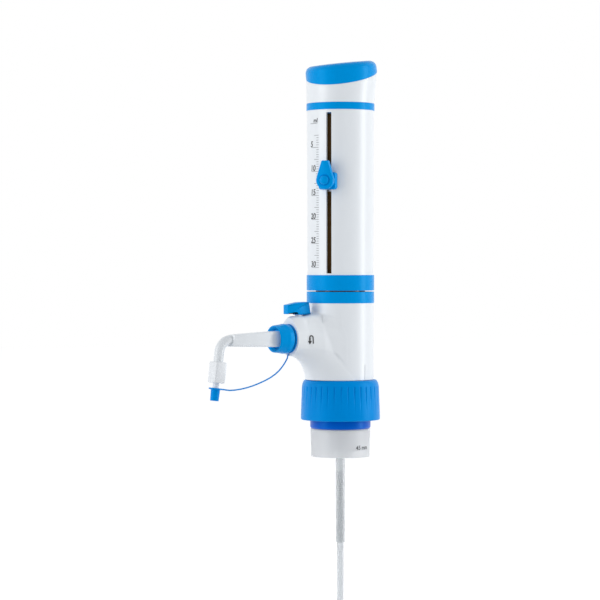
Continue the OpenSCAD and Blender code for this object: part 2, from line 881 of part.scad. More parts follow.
module volume_block() {
    color(blue) facing_slot() translate([0, 0, index_z]) difference() {
        translate([block_face_x, 0, (block_high - block_low) / 2]) rotate([0, -90, 0])
            round_plate(block_high + block_low, block_w, block_t + 3, 2.2);
        cylinder(r = block_inner_r, h = long, center = true);
        // pocket that takes the end of the clamp plate's shank
        translate([0, -shank_w / 2 - seat, -shank_half_h - seat])
            cube([shank_end_r + seat, shank_w + 2 * seat, 2 * (shank_half_h + seat)]);
        translate([0, 0, screw_z]) rotate([0, 90, 0]) cylinder(r = screw_r + seat, h = long);
    }
}

module clamp_plate() {
    color("silver") facing_slot() translate([0, 0, index_z]) difference() {
        union() {
            translate([plate_x, -plate_w / 2, -plate_half_h])
                cube([plate_t, plate_w, 2 * plate_half_h]);
            translate([plate_x, -shank_w / 2, -shank_half_h])
                cube([shank_end_r - plate_x, shank_w, 2 * shank_half_h]);
        }
        translate([0, 0, screw_z]) rotate([0, 90, 0]) cylinder(r = screw_r + fit, h = long);
    }
}

module volume_lever() {
    color(blue) facing_slot() translate([lever_x, 0, index_z + screw_z]) rotate([90, 0, 90]) {
        hull() {
            linear_extrude(lever_t) circle(r = lever_r, $fn = 64);
            translate([0, lever_reach - lever_tip_r, 0]) linear_extrude(lever_t)
                circle(r = lever_tip_r, $fn = 32);
        }
        rotate_extrude() polygon([
            [0, lever_t - 1], [dome_r, lever_t - 1],
            for (a = [0:15:90]) [dome_r * cos(a), lever_t + dome_h * sin(a)]
        ]);
        translate([0, 0, block_inner_r - lever_x])
            cylinder(r = screw_r, h = lever_x - block_inner_r + 1);
    }
}

bottle_adapter();
rim_seal();
thread_ring();
collar_grip();
valve_head();
head_band();
valve_block();
suction_valve();
suction_ball();
feed_tube_fixed();
feed_tube_sliding();
return_tube();
outlet_insert();
discharge_ball();
glass_barrel();
barrel_nut();
barrel_seal();
guard_tube();
stop_ring();
spindle();
spindle_seal();
recirculation_knob();
tether_ring();
tether();
nozzle_nut();
arm_sheath();
delivery_tube();
tip_sleeve();
tip_cap();
measuring_sleeve();
sleeve_ring();
top_band();
top_housing();
top_cap();
rod_plate();
piston_rod();
calibration_nut();
piston();
piston_seal();
volume_block();
clamp_plate();
volume_lever();
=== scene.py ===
"""Bottle top dispenser, 30 ml size, dressed for rendering.

The studio and the tether come first. The file then follows the object from
the bottle's neck up to the grip, and out along the nozzle. Every length is in
metres, in the frame of the solids: +Z up, the nozzle along -X, the origin at
the bottle's rim.
"""
import math

import bmesh
import bpy
import numpy as np
from mathutils import Matrix, Vector


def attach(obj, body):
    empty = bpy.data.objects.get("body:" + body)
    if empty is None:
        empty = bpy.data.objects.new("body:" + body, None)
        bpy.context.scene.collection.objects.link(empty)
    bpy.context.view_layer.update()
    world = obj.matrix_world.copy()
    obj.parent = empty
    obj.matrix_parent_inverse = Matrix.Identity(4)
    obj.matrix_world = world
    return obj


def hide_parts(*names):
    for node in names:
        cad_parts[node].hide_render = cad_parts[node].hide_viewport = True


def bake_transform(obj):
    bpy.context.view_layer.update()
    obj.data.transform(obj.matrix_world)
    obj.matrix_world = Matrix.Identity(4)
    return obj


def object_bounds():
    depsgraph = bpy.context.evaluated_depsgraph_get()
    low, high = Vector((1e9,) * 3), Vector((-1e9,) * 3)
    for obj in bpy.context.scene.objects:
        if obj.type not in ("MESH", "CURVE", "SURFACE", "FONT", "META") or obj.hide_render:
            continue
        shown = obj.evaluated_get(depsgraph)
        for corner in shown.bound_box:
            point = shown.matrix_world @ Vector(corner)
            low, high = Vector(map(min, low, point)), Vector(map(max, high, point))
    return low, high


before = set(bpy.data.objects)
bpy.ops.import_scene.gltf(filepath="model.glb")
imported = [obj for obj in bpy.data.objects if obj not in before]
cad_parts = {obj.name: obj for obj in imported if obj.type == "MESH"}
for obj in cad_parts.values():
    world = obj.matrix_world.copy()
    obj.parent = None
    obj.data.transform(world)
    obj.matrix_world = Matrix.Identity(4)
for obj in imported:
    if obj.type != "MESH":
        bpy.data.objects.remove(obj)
solid_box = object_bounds()
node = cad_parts
MM = 0.001

# ---- Camera ----
# A long lens just under two metres away, about level with the sleeve's foot,
# looking at the side that carries the volume slot.

VIEW_AZIMUTH = math.radians(-35.4)
FRAME_PX = 600
FOCAL_PX = 2350
SENSOR_MM = 36
PX_MM = 0.85  # length that one pixel spans at the object's axis
AXIS_PX = 340.4
HORIZON_PX = 265.0
RIM_PX = 430.5

distance = FOCAL_PX * PX_MM * MM
toward_camera = Vector((math.sin(VIEW_AZIMUTH), -math.cos(VIEW_AZIMUTH), 0))
to_the_right = Vector((math.cos(VIEW_AZIMUTH), math.sin(VIEW_AZIMUTH), 0))
pitch = math.atan((FRAME_PX / 2 - HORIZON_PX) / FOCAL_PX)

camera_data = bpy.data.cameras.new("studio_camera")
camera_data.sensor_width = SENSOR_MM
camera_data.lens = FOCAL_PX / FRAME_PX * SENSOR_MM
camera_data.clip_end = 20
camera = bpy.data.objects.new("studio_camera", camera_data)
camera.rotation_euler = (math.radians(90) - pitch, 0, VIEW_AZIMUTH)
camera.location = (toward_camera * distance
                   - to_the_right * (AXIS_PX - FRAME_PX / 2) * PX_MM * MM
                   + Vector((0, 0, (RIM_PX - HORIZON_PX) * PX_MM * MM)))
bpy.context.collection.objects.link(camera)
bpy.context.scene.camera = camera

# ---- Floor, backdrop and light ----
# A wide white floor, two soft boxes and a bright room, which is pure white
# where it is looked at. The floor glows a little there too, so that it comes
# out as white paper and still keeps the shadow that falls on it.

FLOOR_Z = solid_box[0][2] - 0.001
FLOOR_SIZE = 12.0
FLOOR_GLOW = 0.53
ROOM_LIGHT = 0.58
KEY_POWER = 6.5
SIDE_POWER = 8.5
MIDDLE_Z = 0.13

scene = bpy.context.scene
scene.view_settings.view_transform = "Standard"


def new_material(name):
    """An empty node material and its output."""
    material = bpy.data.materials.new(name)
    material.use_nodes = True
    material.node_tree.nodes.clear()
    output = material.node_tree.nodes.new("ShaderNodeOutputMaterial")
    return material, material.node_tree, output


def seen_directly(tree):
    """1 where the camera, a reflection or a clear surface looks at the room, else 0."""
    path = tree.nodes.new("ShaderNodeLightPath")
    seen = path.outputs["Is Camera Ray"]
    for ray in ("Is Glossy Ray", "Is Transmission Ray"):
        either = tree.nodes.new("ShaderNodeMath")
        either.operation = "MAXIMUM"
        tree.links.new(seen, either.inputs[0])
        tree.links.new(path.outputs[ray], either.inputs[1])
        seen = either.outputs[0]
    return seen


floor_mesh = bmesh.new()
bmesh.ops.create_grid(floor_mesh, x_segments=1, y_segments=1, size=FLOOR_SIZE / 2)
bmesh.ops.translate(floor_mesh, verts=floor_mesh.verts, vec=(0, 0, FLOOR_Z))
floor_data = bpy.data.meshes.new("studio_floor")
floor_mesh.to_mesh(floor_data)
floor = bpy.data.objects.new("studio_floor", floor_data)
bpy.context.collection.objects.link(floor)
floor_paint, tree, output = new_material("white_sweep")
matte = tree.nodes.new("ShaderNodeBsdfDiffuse")
matte.inputs["Color"].default_value = (0.86, 0.86, 0.87, 1)
glow = tree.nodes.new("ShaderNodeEmission")
glow.inputs["Color"].default_value = (1, 1, 1, 1)
lift = tree.nodes.new("ShaderNodeMath")
lift.operation = "MULTIPLY"
lift.inputs[1].default_value = FLOOR_GLOW
tree.links.new(seen_directly(tree), lift.inputs[0])
tree.links.new(lift.outputs[0], glow.inputs["Strength"])
lit_paper = tree.nodes.new("ShaderNodeAddShader")
tree.links.new(matte.outputs[0], lit_paper.inputs[0])
tree.links.new(glow.outputs[0], lit_paper.inputs[1])
tree.links.new(lit_paper.outputs[0], output.inputs["Surface"])
floor_data.materials.append(floor_paint)

world = bpy.data.worlds.new("studio_room")
scene.world = world
world.use_nodes = True
tree = world.node_tree
tree.nodes.clear()
room = tree.nodes.new("ShaderNodeBackground")
room.inputs["Color"].default_value = (0.95, 0.97, 1.0, 1)
room.inputs["Strength"].default_value = ROOM_LIGHT
paper = tree.nodes.new("ShaderNodeBackground")
paper.inputs["Color"].default_value = (1, 1, 1, 1)
paper.inputs["Strength"].default_value = 1
chosen = tree.nodes.new("ShaderNodeMixShader")
room_output = tree.nodes.new("ShaderNodeOutputWorld")
tree.links.new(seen_directly(tree), chosen.inputs["Fac"])
tree.links.new(room.outputs[0], chosen.inputs[1])
tree.links.new(paper.outputs[0], chosen.inputs[2])
tree.links.new(chosen.outputs[0], room_output.inputs["Surface"])


def soft_box(name, place, size, power):
    """A rectangular lamp that faces the middle of the object."""
    lamp = bpy.data.lights.new(name, "AREA")
    lamp.shape = "RECTANGLE"
    lamp.size, lamp.size_y = size
    lamp.energy = power
    box = bpy.data.objects.new(name, lamp)
    box.location = place
    aim = Vector((0, 0, MIDDLE_Z)) - Vector(place)
    box.rotation_euler = aim.to_track_quat("-Z", "Y").to_euler()
    bpy.context.collection.objects.link(box)


left = -to_the_right
soft_box("left_soft_box", left * 1.1 + toward_camera * 0.5 + Vector((0, 0, 0.35)),
         (0.5, 1.1), KEY_POWER)
soft_box("right_soft_box", to_the_right * 1.2 + toward_camera * 0.15 + Vector((0, 0, 0.3)),
         (0.35, 1.2), SIDE_POWER)

# ---- Tether ----
# A thin blue cord that hangs from the ring behind the lock nut to the tip cap.
# It is built once along a fixed route and rides on no body.

CREASE = math.radians(38)
TURN_STEPS = 144
DRIFT = -0.03
GRAIN_SCALE = 1400
TETHER_R = 0.0006
TETHER_SIDES = 12
TETHER_ROUTE = [
    (-0.0542, 0, 0.0664), (-0.0552, 0, 0.0626), (-0.0574, 0, 0.0592), (-0.0600, 0, 0.0560),
    (-0.0634, 0, 0.0526), (-0.0675, 0, 0.0496), (-0.0725, 0, 0.0468), (-0.0780, 0, 0.0445),
    (-0.0840, 0, 0.0424), (-0.0900, 0, 0.0406), (-0.0960, 0, 0.0392), (-0.1020, 0, 0.0382),
    (-0.1080, 0, 0.0376), (-0.1130, 0, 0.0375), (-0.1170, 0, 0.0380), (-0.1210, 0, 0.0386)]


def paint(red, green, blue):
    """A screen colour, 0 to 255, as the linear colour that a shader takes."""
    def linear(value):
        value /= 255
        return value / 12.92 if value <= 0.04045 else ((value + 0.055) / 1.055) ** 2.4
    return (linear(red), linear(green), linear(blue), 1)


def moulded_skin_group():
    """Moulding grain, slow colour drift and faint handling scuffs."""
    group = bpy.data.node_groups.new("moulded_skin", "ShaderNodeTree")
    for name, kind in (("Colour", "NodeSocketColor"), ("Drift", "NodeSocketFloat"),
                       ("Gloss", "NodeSocketFloat"), ("Grain Scale", "NodeSocketFloat")):
        group.interface.new_socket(name, in_out="INPUT", socket_type=kind)
    for name, kind in (("Colour", "NodeSocketColor"), ("Roughness", "NodeSocketFloat"),
                       ("Height", "NodeSocketFloat")):
        group.interface.new_socket(name, in_out="OUTPUT", socket_type=kind)
    nodes, links = group.nodes, group.links
    source, sink = nodes.new("NodeGroupInput"), nodes.new("NodeGroupOutput")
    place = nodes.new("ShaderNodeTexCoord")
    grain = nodes.new("ShaderNodeTexNoise")
    grain.inputs["Detail"].default_value = 3
    links.new(place.outputs["Object"], grain.inputs["Vector"])
    links.new(source.outputs["Grain Scale"], grain.inputs["Scale"])
    cloud = nodes.new("ShaderNodeTexNoise")
    cloud.inputs["Scale"].default_value = 28
    cloud.inputs["Detail"].default_value = 3
    links.new(place.outputs["Object"], cloud.inputs["Vector"])
    scuff = nodes.new("ShaderNodeTexNoise")
    scuff.inputs["Scale"].default_value = 160
    scuff.inputs["Detail"].default_value = 6
    scuff.inputs["Distortion"].default_value = 1.2
    links.new(place.outputs["Object"], scuff.inputs["Vector"])
    shade = nodes.new("ShaderNodeMath")
    shade.operation = "MULTIPLY_ADD"
    links.new(cloud.outputs["Fac"], shade.inputs[0])
    links.new(source.outputs["Drift"], shade.inputs[1])
    shade.inputs[2].default_value = 1
    tinted = nodes.new("ShaderNodeVectorMath")
    tinted.operation = "SCALE"
    links.new(source.outputs["Colour"], tinted.inputs[0])
    links.new(shade.outputs[0], tinted.inputs["Scale"])
    links.new(tinted.outputs["Vector"], sink.inputs["Colour"])
    spread = nodes.new("ShaderNodeMapRange")
    spread.inputs["From Min"].default_value = 0.35
    spread.inputs["From Max"].default_value = 0.75
    spread.inputs["To Min"].default_value = -0.03
    spread.inputs["To Max"].default_value = 0.06
    links.new(scuff.outputs["Fac"], spread.inputs["Value"])
    polish = nodes.new("ShaderNodeMath")
    links.new(spread.outputs["Result"], polish.inputs[0])
    links.new(source.outputs["Gloss"], polish.inputs[1])
    links.new(polish.outputs[0], sink.inputs["Roughness"])
    links.new(grain.outputs["Fac"], sink.inputs["Height"])
    return group


moulded_skin = moulded_skin_group()


def moulded(name, colour, gloss=0.3, depth=0.000004, metallic=0.0, transmission=0.0,
            specular=0.5, shine=(1, 1, 1, 1)):
    """A moulded plastic with grain and slight drift in its colour."""
    material, tree, output = new_material(name)
    skin = tree.nodes.new("ShaderNodeGroup")
    skin.node_tree = moulded_skin
    skin.inputs["Colour"].default_value = colour
    skin.inputs["Drift"].default_value = DRIFT
    skin.inputs["Gloss"].default_value = gloss
    skin.inputs["Grain Scale"].default_value = GRAIN_SCALE
    bump = tree.nodes.new("ShaderNodeBump")
    bump.inputs["Strength"].default_value = 0.5
    bump.inputs["Distance"].default_value = depth
    shader = tree.nodes.new("ShaderNodeBsdfPrincipled")
    shader.inputs["Metallic"].default_value = metallic
    shader.inputs["Specular IOR Level"].default_value = specular
    shader.inputs["Specular Tint"].default_value = shine
    shader.inputs["Transmission Weight"].default_value = transmission
    tree.links.new(skin.outputs["Colour"], shader.inputs["Base Color"])
    tree.links.new(skin.outputs["Roughness"], shader.inputs["Roughness"])
    tree.links.new(skin.outputs["Height"], bump.inputs["Height"])
    tree.links.new(bump.outputs["Normal"], shader.inputs["Normal"])
    tree.links.new(shader.outputs["BSDF"], output.inputs["Surface"])
    return material


def dress(material, *names):
    """Gives CAD nodes that material."""
    for name in names:
        solid = node[name]
        solid.data.materials.clear()
        solid.data.materials.append(material)


def piece_from(mesh, name, material, body, *stands_for):
    """Makes a mesh a smooth piece that rides on a body and stands for its nodes.

    A piece that blends between two bodies rides on none.
    """
    bmesh.ops.remove_doubles(mesh, verts=mesh.verts, dist=0.000002)
    bmesh.ops.recalc_face_normals(mesh, faces=mesh.faces)
    for face in mesh.faces:
        face.smooth = True
    for edge in mesh.edges:
        edge.smooth = edge.calc_face_angle(math.pi) < CREASE
    data = bpy.data.meshes.new(name)
    mesh.to_mesh(data)
    mesh.free()
    data.materials.append(material)
    piece = bpy.data.objects.new(name, data)
    bpy.context.collection.objects.link(piece)
    if body:
        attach(piece, body)
    if stands_for:
        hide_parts(*stands_for)
    return piece


def eased(outline, radius, steps=4):
    """A closed outline with its corners rounded, each by at most half its sides."""
    result = []
    points = [Vector(point) for point in outline]
    for before, corner, after in zip(points[-1:] + points, points, points[1:] + points[:1]):
        back, on = before - corner, after - corner
        cut_back = corner + back.normalized() * min(radius, back.length / 2.1)
        cut_on = corner + on.normalized() * min(radius, on.length / 2.1)
        for step in range(steps + 1):
            t = step / steps
            result.append(cut_back * (1 - t) ** 2 + corner * 2 * t * (1 - t) + cut_on * t ** 2)
    return result


def turned(outline, steps=TURN_STEPS):
    """A ring whose section is a closed outline of (radius, height) points."""
    mesh = bmesh.new()
    ring = [mesh.verts.new((point[0], 0, point[1])) for point in outline]
    edges = [mesh.edges.new(pair) for pair in zip(ring, ring[1:] + ring[:1])]
    bmesh.ops.spin(mesh, geom=ring + edges, axis=(0, 0, 1), cent=(0, 0, 0),
                   angle=math.tau, steps=steps, use_merge=True)
    return mesh


def skinned(rings, closed=True):
    """A closed skin through rings of equally many points, capped at both ends."""
    mesh = bmesh.new()
    rows = [[mesh.verts.new(point) for point in ring] for ring in rings]
    for low, high in zip(rows, rows[1:]):
        for a, b, c, d in zip(low, low[1:] + low[:1], high[1:] + high[:1], high):
            mesh.faces.new((a, b, c, d))
    if closed:
        mesh.faces.new(rows[0][::-1])
        mesh.faces.new(rows[-1])
    return mesh


soft_blue = moulded("blue_silicone", paint(0, 136, 218), gloss=0.42, specular=0.3,
                    shine=(0.02, 0.62, 1, 1))
route = [Vector(point) for point in TETHER_ROUTE]
tether_rings = []
for before, point, after in zip(route[:1] + route, route, route[1:] + route[-1:]):
    across = (after - before).normalized().cross(Vector((0, 1, 0)))
    tether_rings.append([
        point + TETHER_R * (math.cos(math.tau * k / TETHER_SIDES) * across
                            + math.sin(math.tau * k / TETHER_SIDES) * Vector((0, 1, 0)))
        for k in range(TETHER_SIDES)])
tether_cord = piece_from(skinned(tether_rings), "tether_cord", soft_blue, None, "tether")
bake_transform(tether_cord)

# ---- Bottle adapter ----
# Frosted natural polypropylene, moulded with a 45 mm thread inside its skirt
# and a spigot on top. The size mark stands on the skirt.

SKIRT_R = 0.0250
THREAD_ROOT_R = 0.0226
THREAD_W = 0.0022
THREAD_CREST_W = 0.0010
THREAD_DEPTH = 0.0006
THREAD_PITCH = 0.006
THREAD_TURNS = 2.5
THREAD_FOOT_Z = -0.0195
THREAD_STEPS = 48
THREAD_FADE_TURNS = 1 / 3
MARK_H = 0.0034
MARK_FOOT_Z = -0.0150
MARK_DEG = 281
INK_T = 0.00012


def lettering(text, height, thickness, shear=0.0, align="CENTER", weight=0.0):
    """Flat letters in the XY plane, from the baseline up, as a thin solid mesh."""
    curve = bpy.data.curves.new("letters", "FONT")
    curve.body = text
    curve.align_x = align
    curve.offset = weight
    curve.size = height / 0.7
    curve.shear = shear
    curve.extrude = thickness / 2
    holder = bpy.data.objects.new("letters", curve)
    data = bpy.data.meshes.new_from_object(holder)
    mesh = bmesh.new()
    mesh.from_mesh(data)
    bpy.data.objects.remove(holder)
    bpy.data.curves.remove(curve)
    bpy.data.meshes.remove(data)
    return mesh


def wrap(mesh, radius, degrees, height):
    """Bends flat print round the axis at a radius, a direction and a height."""
    top = max(vert.co.z for vert in mesh.verts)
    bmesh.ops.triangulate(mesh, faces=mesh.faces)
    for vert in mesh.verts:
        reach = radius + 0.00003 + (vert.co.z + top) / 2
        angle = math.radians(degrees) + vert.co.x / radius
        vert.co = (reach * math.cos(angle), reach * math.sin(angle), height + vert.co.y)
    return mesh


frosted = moulded("frosted_polypropylene", paint(245, 247, 249), gloss=0.42,
                  transmission=0.5, depth=0.00001)
dark_ink = moulded("dark_print", paint(62, 64, 68), gloss=0.5)
dress(frosted, "bottle_adapter")
thread_section = eased([(-THREAD_W / 2, 0), (-THREAD_CREST_W / 2, -THREAD_DEPTH),
                        (THREAD_CREST_W / 2, -THREAD_DEPTH), (THREAD_W / 2, 0)], 0.0003)
thread_rings = []
for step in range(int(THREAD_TURNS * THREAD_STEPS) + 1):
    turn = step / THREAD_STEPS
    fade = min(1, turn / THREAD_FADE_TURNS, (THREAD_TURNS - turn) / THREAD_FADE_TURNS)
    ring = []
    for climb, depth in thread_section:
        reach = THREAD_ROOT_R + depth * fade
        ring.append(Vector((reach * math.cos(turn * math.tau), reach * math.sin(turn * math.tau),
                            THREAD_FOOT_Z + turn * THREAD_PITCH + climb)))
    thread_rings.append(ring)
thread = skinned(thread_rings)
piece_from(thread, "adapter_thread", frosted, "base")
size_mark = wrap(lettering("45 mm", MARK_H, INK_T, weight=0.00008), SKIRT_R, MARK_DEG, MARK_FOOT_Z)
piece_from(size_mark, "size_mark", dark_ink, "base")
sealing = moulded("white_silicone", paint(232, 232, 230), gloss=0.5)
dress(sealing, "rim_seal")

# ---- Thread ring ----
# The deep blue ring that clamps the valve head's flange to the adapter.

deep_blue = moulded("deep_blue_polypropylene", paint(0, 92, 204),
                    gloss=0.32, specular=0.35, shine=(0.02, 0.5, 1, 1))
dress(deep_blue, "thread_ring")

# ---- Collar ----
# The blue collar is what the hand turns. Narrow grip grooves run down it from
# its shoulder and fade out towards its foot.

COLLAR_FOOT_Z = 0.0094
COLLAR_TOP_Z = 0.0434
COLLAR_R = 0.03375
COLLAR_TOP_R = 0.03275
COLLAR_NECK_R = 0.02835
COLLAR_BORE_R = 0.03035
COLLAR_LIP_Z = 0.0276
COLLAR_HOLE_R = 0.0210
COLLAR_SIDE_TOP_Z = 0.0374
COLLAR_SHOULDER_Z = 0.0408
COLLAR_EDGE_R = 0.0012
GROOVES = 36
GROOVE_DEPTH = 0.0007
GROOVE_STEPS = 14
GROOVE_TOP_Z = 0.0385
GROOVE_MIN_R = 0.0318
GROOVE_SHARE = 0.18

bright_blue = moulded("bright_blue_polypropylene", paint(0, 150, 226), gloss=0.28,
                      specular=0.16, shine=(0.02, 0.62, 1, 1))
collar_blue = moulded("collar_blue_polypropylene", paint(0, 140, 222), gloss=0.33,
                      specular=0.16, shine=(0.02, 0.62, 1, 1))
collar_corners = eased([
    (COLLAR_BORE_R, COLLAR_FOOT_Z), (COLLAR_R, COLLAR_FOOT_Z), (COLLAR_TOP_R, COLLAR_SIDE_TOP_Z),
    (COLLAR_TOP_R - 0.0006, COLLAR_SHOULDER_Z), (COLLAR_NECK_R + 0.0022, COLLAR_TOP_Z),
    (COLLAR_HOLE_R, COLLAR_TOP_Z), (COLLAR_HOLE_R, COLLAR_LIP_Z),
    (COLLAR_BORE_R, COLLAR_LIP_Z)], COLLAR_EDGE_R)
collar_outline = []
for start, end in zip(collar_corners, collar_corners[1:] + collar_corners[:1]):
    collar_outline.append(start)
    if (end - start).length > 0.008:
        collar_outline += [start.lerp(end, share) for share in (0.25, 0.5, 0.75)]
collar_rings = []
for step in range(GROOVES * GROOVE_STEPS):
    angle = step / (GROOVES * GROOVE_STEPS) * math.tau
    off_middle = abs(step % GROOVE_STEPS - GROOVE_STEPS / 2) / (GROOVE_STEPS / 2)
    cut = max(0.0, 1 - off_middle / GROOVE_SHARE) ** 0.8
    ring = []
    for radius, height in collar_outline:
        climb = (height - COLLAR_FOOT_Z) / (GROOVE_TOP_Z - COLLAR_FOOT_Z)
        on_side = 0 <= climb <= 1 and radius > GROOVE_MIN_R
        fade = min(1, max(0, climb * 1.7 - 0.5)) if on_side else 0
        reach = radius - GROOVE_DEPTH * cut * fade
        ring.append(Vector((reach * math.cos(angle), reach * math.sin(angle), height)))
    collar_rings.append(ring)
collar = skinned(collar_rings + collar_rings[:1], closed=False)
piece_from(collar, "collar_skin", collar_blue, "base", "collar_grip")

# ---- Valve head ----
# One white moulding: a barrel, a boss that carries the nozzle, a shelf under
# the recirculation knob, flanks that run from the boss to the barrel's sides,
# and a horn that widens down to the collar. Its skin is a distance field.

HEAD_R = 0.0282
HEAD_FOOT_Z = 0.0437
HEAD_TOP_Z = 0.1085
BOSS_Z = 0.079
BOSS_R = 0.0135
BOSS_END_X = -0.0535
SWEEP_R = 0.0276
SWEEP_X = -0.058
SWEEP_Z = 0.0379
HORN_END_R = 0.0282
HORN_GROWTH = 1.5
SPINDLE_X = -0.0437
SHELF_R = 0.0095
SHELF_Z = 0.0975
SHELF_EDGE = 0.0035
SHELF_DEPTH = 0.004
FLANK_X = 0.0370
FLANK_DROP = 0.0015
FLANK_SLOPE = 0.8
BOSS_FILLET = 0.003
SHELF_FILLET = 0.007
FLANK_FILLET = 0.006
HORN_FILLET = 0.002
NECK_R = 0.0205
NECK_FOOT_Z = 0.024
SPIGOT_R = 0.0103
SPIGOT_H = 0.0062
ARROW_X = -0.0416
ARROW_Z = 0.0784
ARCH_R = 0.0019
ARCH_IN_R = 0.0010
ARCH_Z = 0.0018
SEAM_DEG = 10.9  # from -Y towards +X
SEAM_R = 0.0004
SEAM_FOOT_Z = 0.0445
SEAM_TOP_Z = 0.0570
ROUGH_BOSS_H = 0.06
VOXEL = 0.0009
OVERRUN = 0.004
NUDGE = 0.00005
LONGEST_MOVE = 0.001


def smooth_union(first, second, width):
    """Joins two distance fields with a fillet of about that width."""
    overlap = np.clip(1 - np.abs(first - second) / width, 0, None)
    return np.minimum(first, second) - overlap ** 2 * width / 4


def horn_station(t):
    """Middle and radius of the horn, from the boss (0) to the collar (1)."""
    radius = BOSS_R + (HORN_END_R - BOSS_R) * t ** HORN_GROWTH
    angle = t * math.pi / 2
    return (SWEEP_X + (SWEEP_R + radius) * math.sin(angle),
            SWEEP_Z + (SWEEP_R + radius) * math.cos(angle), radius)


def eased_corner(side, top):
    """Distance to what lies inside both limits, with the edge between them rounded."""
    side, top = side + SHELF_EDGE, top + SHELF_EDGE
    return (np.hypot(np.maximum(side, 0), np.maximum(top, 0))
            + np.minimum(np.maximum(side, top), 0) - SHELF_EDGE)


def ramp(values, start, length):
    """0 up to start, then evenly up to 1 over that length."""
    return np.clip((values - start) / length, 0, 1)


def head_field(points):
    """Distance from each point to the head's skin, negative inside."""
    x, y, z = points.T
    barrel = np.hypot(x, y) - HEAD_R
    boss = np.maximum(np.hypot(y, z - BOSS_Z) - BOSS_R, x)
    horn = np.full(len(points), 1.0)
    for step in range(49):
        middle_x, middle_z, radius = horn_station(step / 48)
        reach = np.sqrt((x - middle_x) ** 2 + y ** 2 + (z - middle_z) ** 2) - radius
        horn = np.minimum(horn, reach)
    shelf = eased_corner(np.hypot(y, np.minimum(x - SPINDLE_X, 0)) - SHELF_R, z - SHELF_Z)
    shelf = np.maximum(shelf, np.maximum(BOSS_Z - SHELF_DEPTH - z, x))

    middles = np.array([horn_station(step / 12) for step in range(13)])
    above = z - np.interp(x, middles[:, 0], middles[:, 1]) + FLANK_DROP
    half = np.sqrt(np.maximum(BOSS_R ** 2 - np.maximum(z - BOSS_Z, 0) ** 2, SHELF_R ** 2))
    turn = np.arcsin(HEAD_R / np.hypot(FLANK_X, half)) - np.arctan2(half, FLANK_X)
    flank = np.cos(turn) * np.abs(y) - np.sin(turn) * x - HEAD_R
    for limit in (x + HEAD_R * np.sin(turn), -x - FLANK_X, -FLANK_SLOPE * above):
        flank = np.maximum(flank, limit)
    flank = eased_corner(flank, z - SHELF_Z)

    skin = smooth_union(boss, horn, BOSS_FILLET)
    skin = smooth_union(skin, shelf, SHELF_FILLET)
    skin = smooth_union(skin, flank, 0.0005 + FLANK_FILLET * ramp(-x, 0.022, 0.008))
    under_flank = HORN_FILLET * ramp(-above, 0, 0.006)
    over_shelf = FLANK_FILLET * ramp(z, 0.090, 0.005) * ramp(-x, 0.020, 0.012)
    return smooth_union(barrel, skin, 0.0004 + under_flank + over_shelf)


def add_cylinder(mesh, radius, depth, place):
    """Adds a closed cylinder to a mesh."""
    bmesh.ops.create_cone(mesh, cap_ends=True, segments=64, radius1=radius, radius2=radius,
                          depth=depth, matrix=place)


# Plain solids give a rough head, whose points then slide onto the true skin.
rough = bmesh.new()
along_x = Matrix.Rotation(math.radians(90), 4, "Y")
head_h = HEAD_TOP_Z - HEAD_FOOT_Z + 2 * OVERRUN
add_cylinder(rough, HEAD_R, head_h, Matrix.Translation((0, 0, (HEAD_TOP_Z + HEAD_FOOT_Z) / 2)))
add_cylinder(rough, BOSS_R, ROUGH_BOSS_H,
             Matrix.Translation((BOSS_END_X - OVERRUN + ROUGH_BOSS_H / 2, 0, BOSS_Z)) @ along_x)
for station in range(9):
    middle_x, middle_z, radius = horn_station(station / 8)
    bmesh.ops.create_uvsphere(rough, u_segments=32, v_segments=16, radius=radius,
                              matrix=Matrix.Translation((middle_x, 0, middle_z)))
add_cylinder(rough, SHELF_R, SHELF_Z - BOSS_Z,
             Matrix.Translation((SPINDLE_X, 0, (SHELF_Z + BOSS_Z) / 2)))
bmesh.ops.create_cube(rough, size=1, matrix=Matrix.Translation(
    (SPINDLE_X / 2, 0, (SHELF_Z + BOSS_Z) / 2)) @ Matrix.Diagonal(
        (-SPINDLE_X, 2 * SHELF_R, SHELF_Z - BOSS_Z, 1)))
rough_data = bpy.data.meshes.new("head_rough")
rough.to_mesh(rough_data)
rough.free()
holder = bpy.data.objects.new("head_rough", rough_data)
bpy.context.collection.objects.link(holder)
remesh = holder.modifiers.new("remesh", "REMESH")
remesh.mode = "VOXEL"
remesh.voxel_size = VOXEL
skin_data = bpy.data.meshes.new_from_object(
    holder.evaluated_get(bpy.context.evaluated_depsgraph_get()))
bpy.data.objects.remove(holder)

places = np.empty(len(skin_data.vertices) * 3)
skin_data.vertices.foreach_get("co", places)
places = places.reshape(-1, 3)
for settle in range(8):
    height = head_field(places)
    slope = np.stack([(head_field(places + step) - head_field(places - step)) / (2 * NUDGE)
                      for step in np.eye(3) * NUDGE], axis=1)
    size = np.maximum((slope ** 2).sum(axis=1), 0.25)
    places = places - slope * np.clip(height / size, -LONGEST_MOVE, LONGEST_MOVE)[:, None]
skin_data.vertices.foreach_set("co", places.ravel())

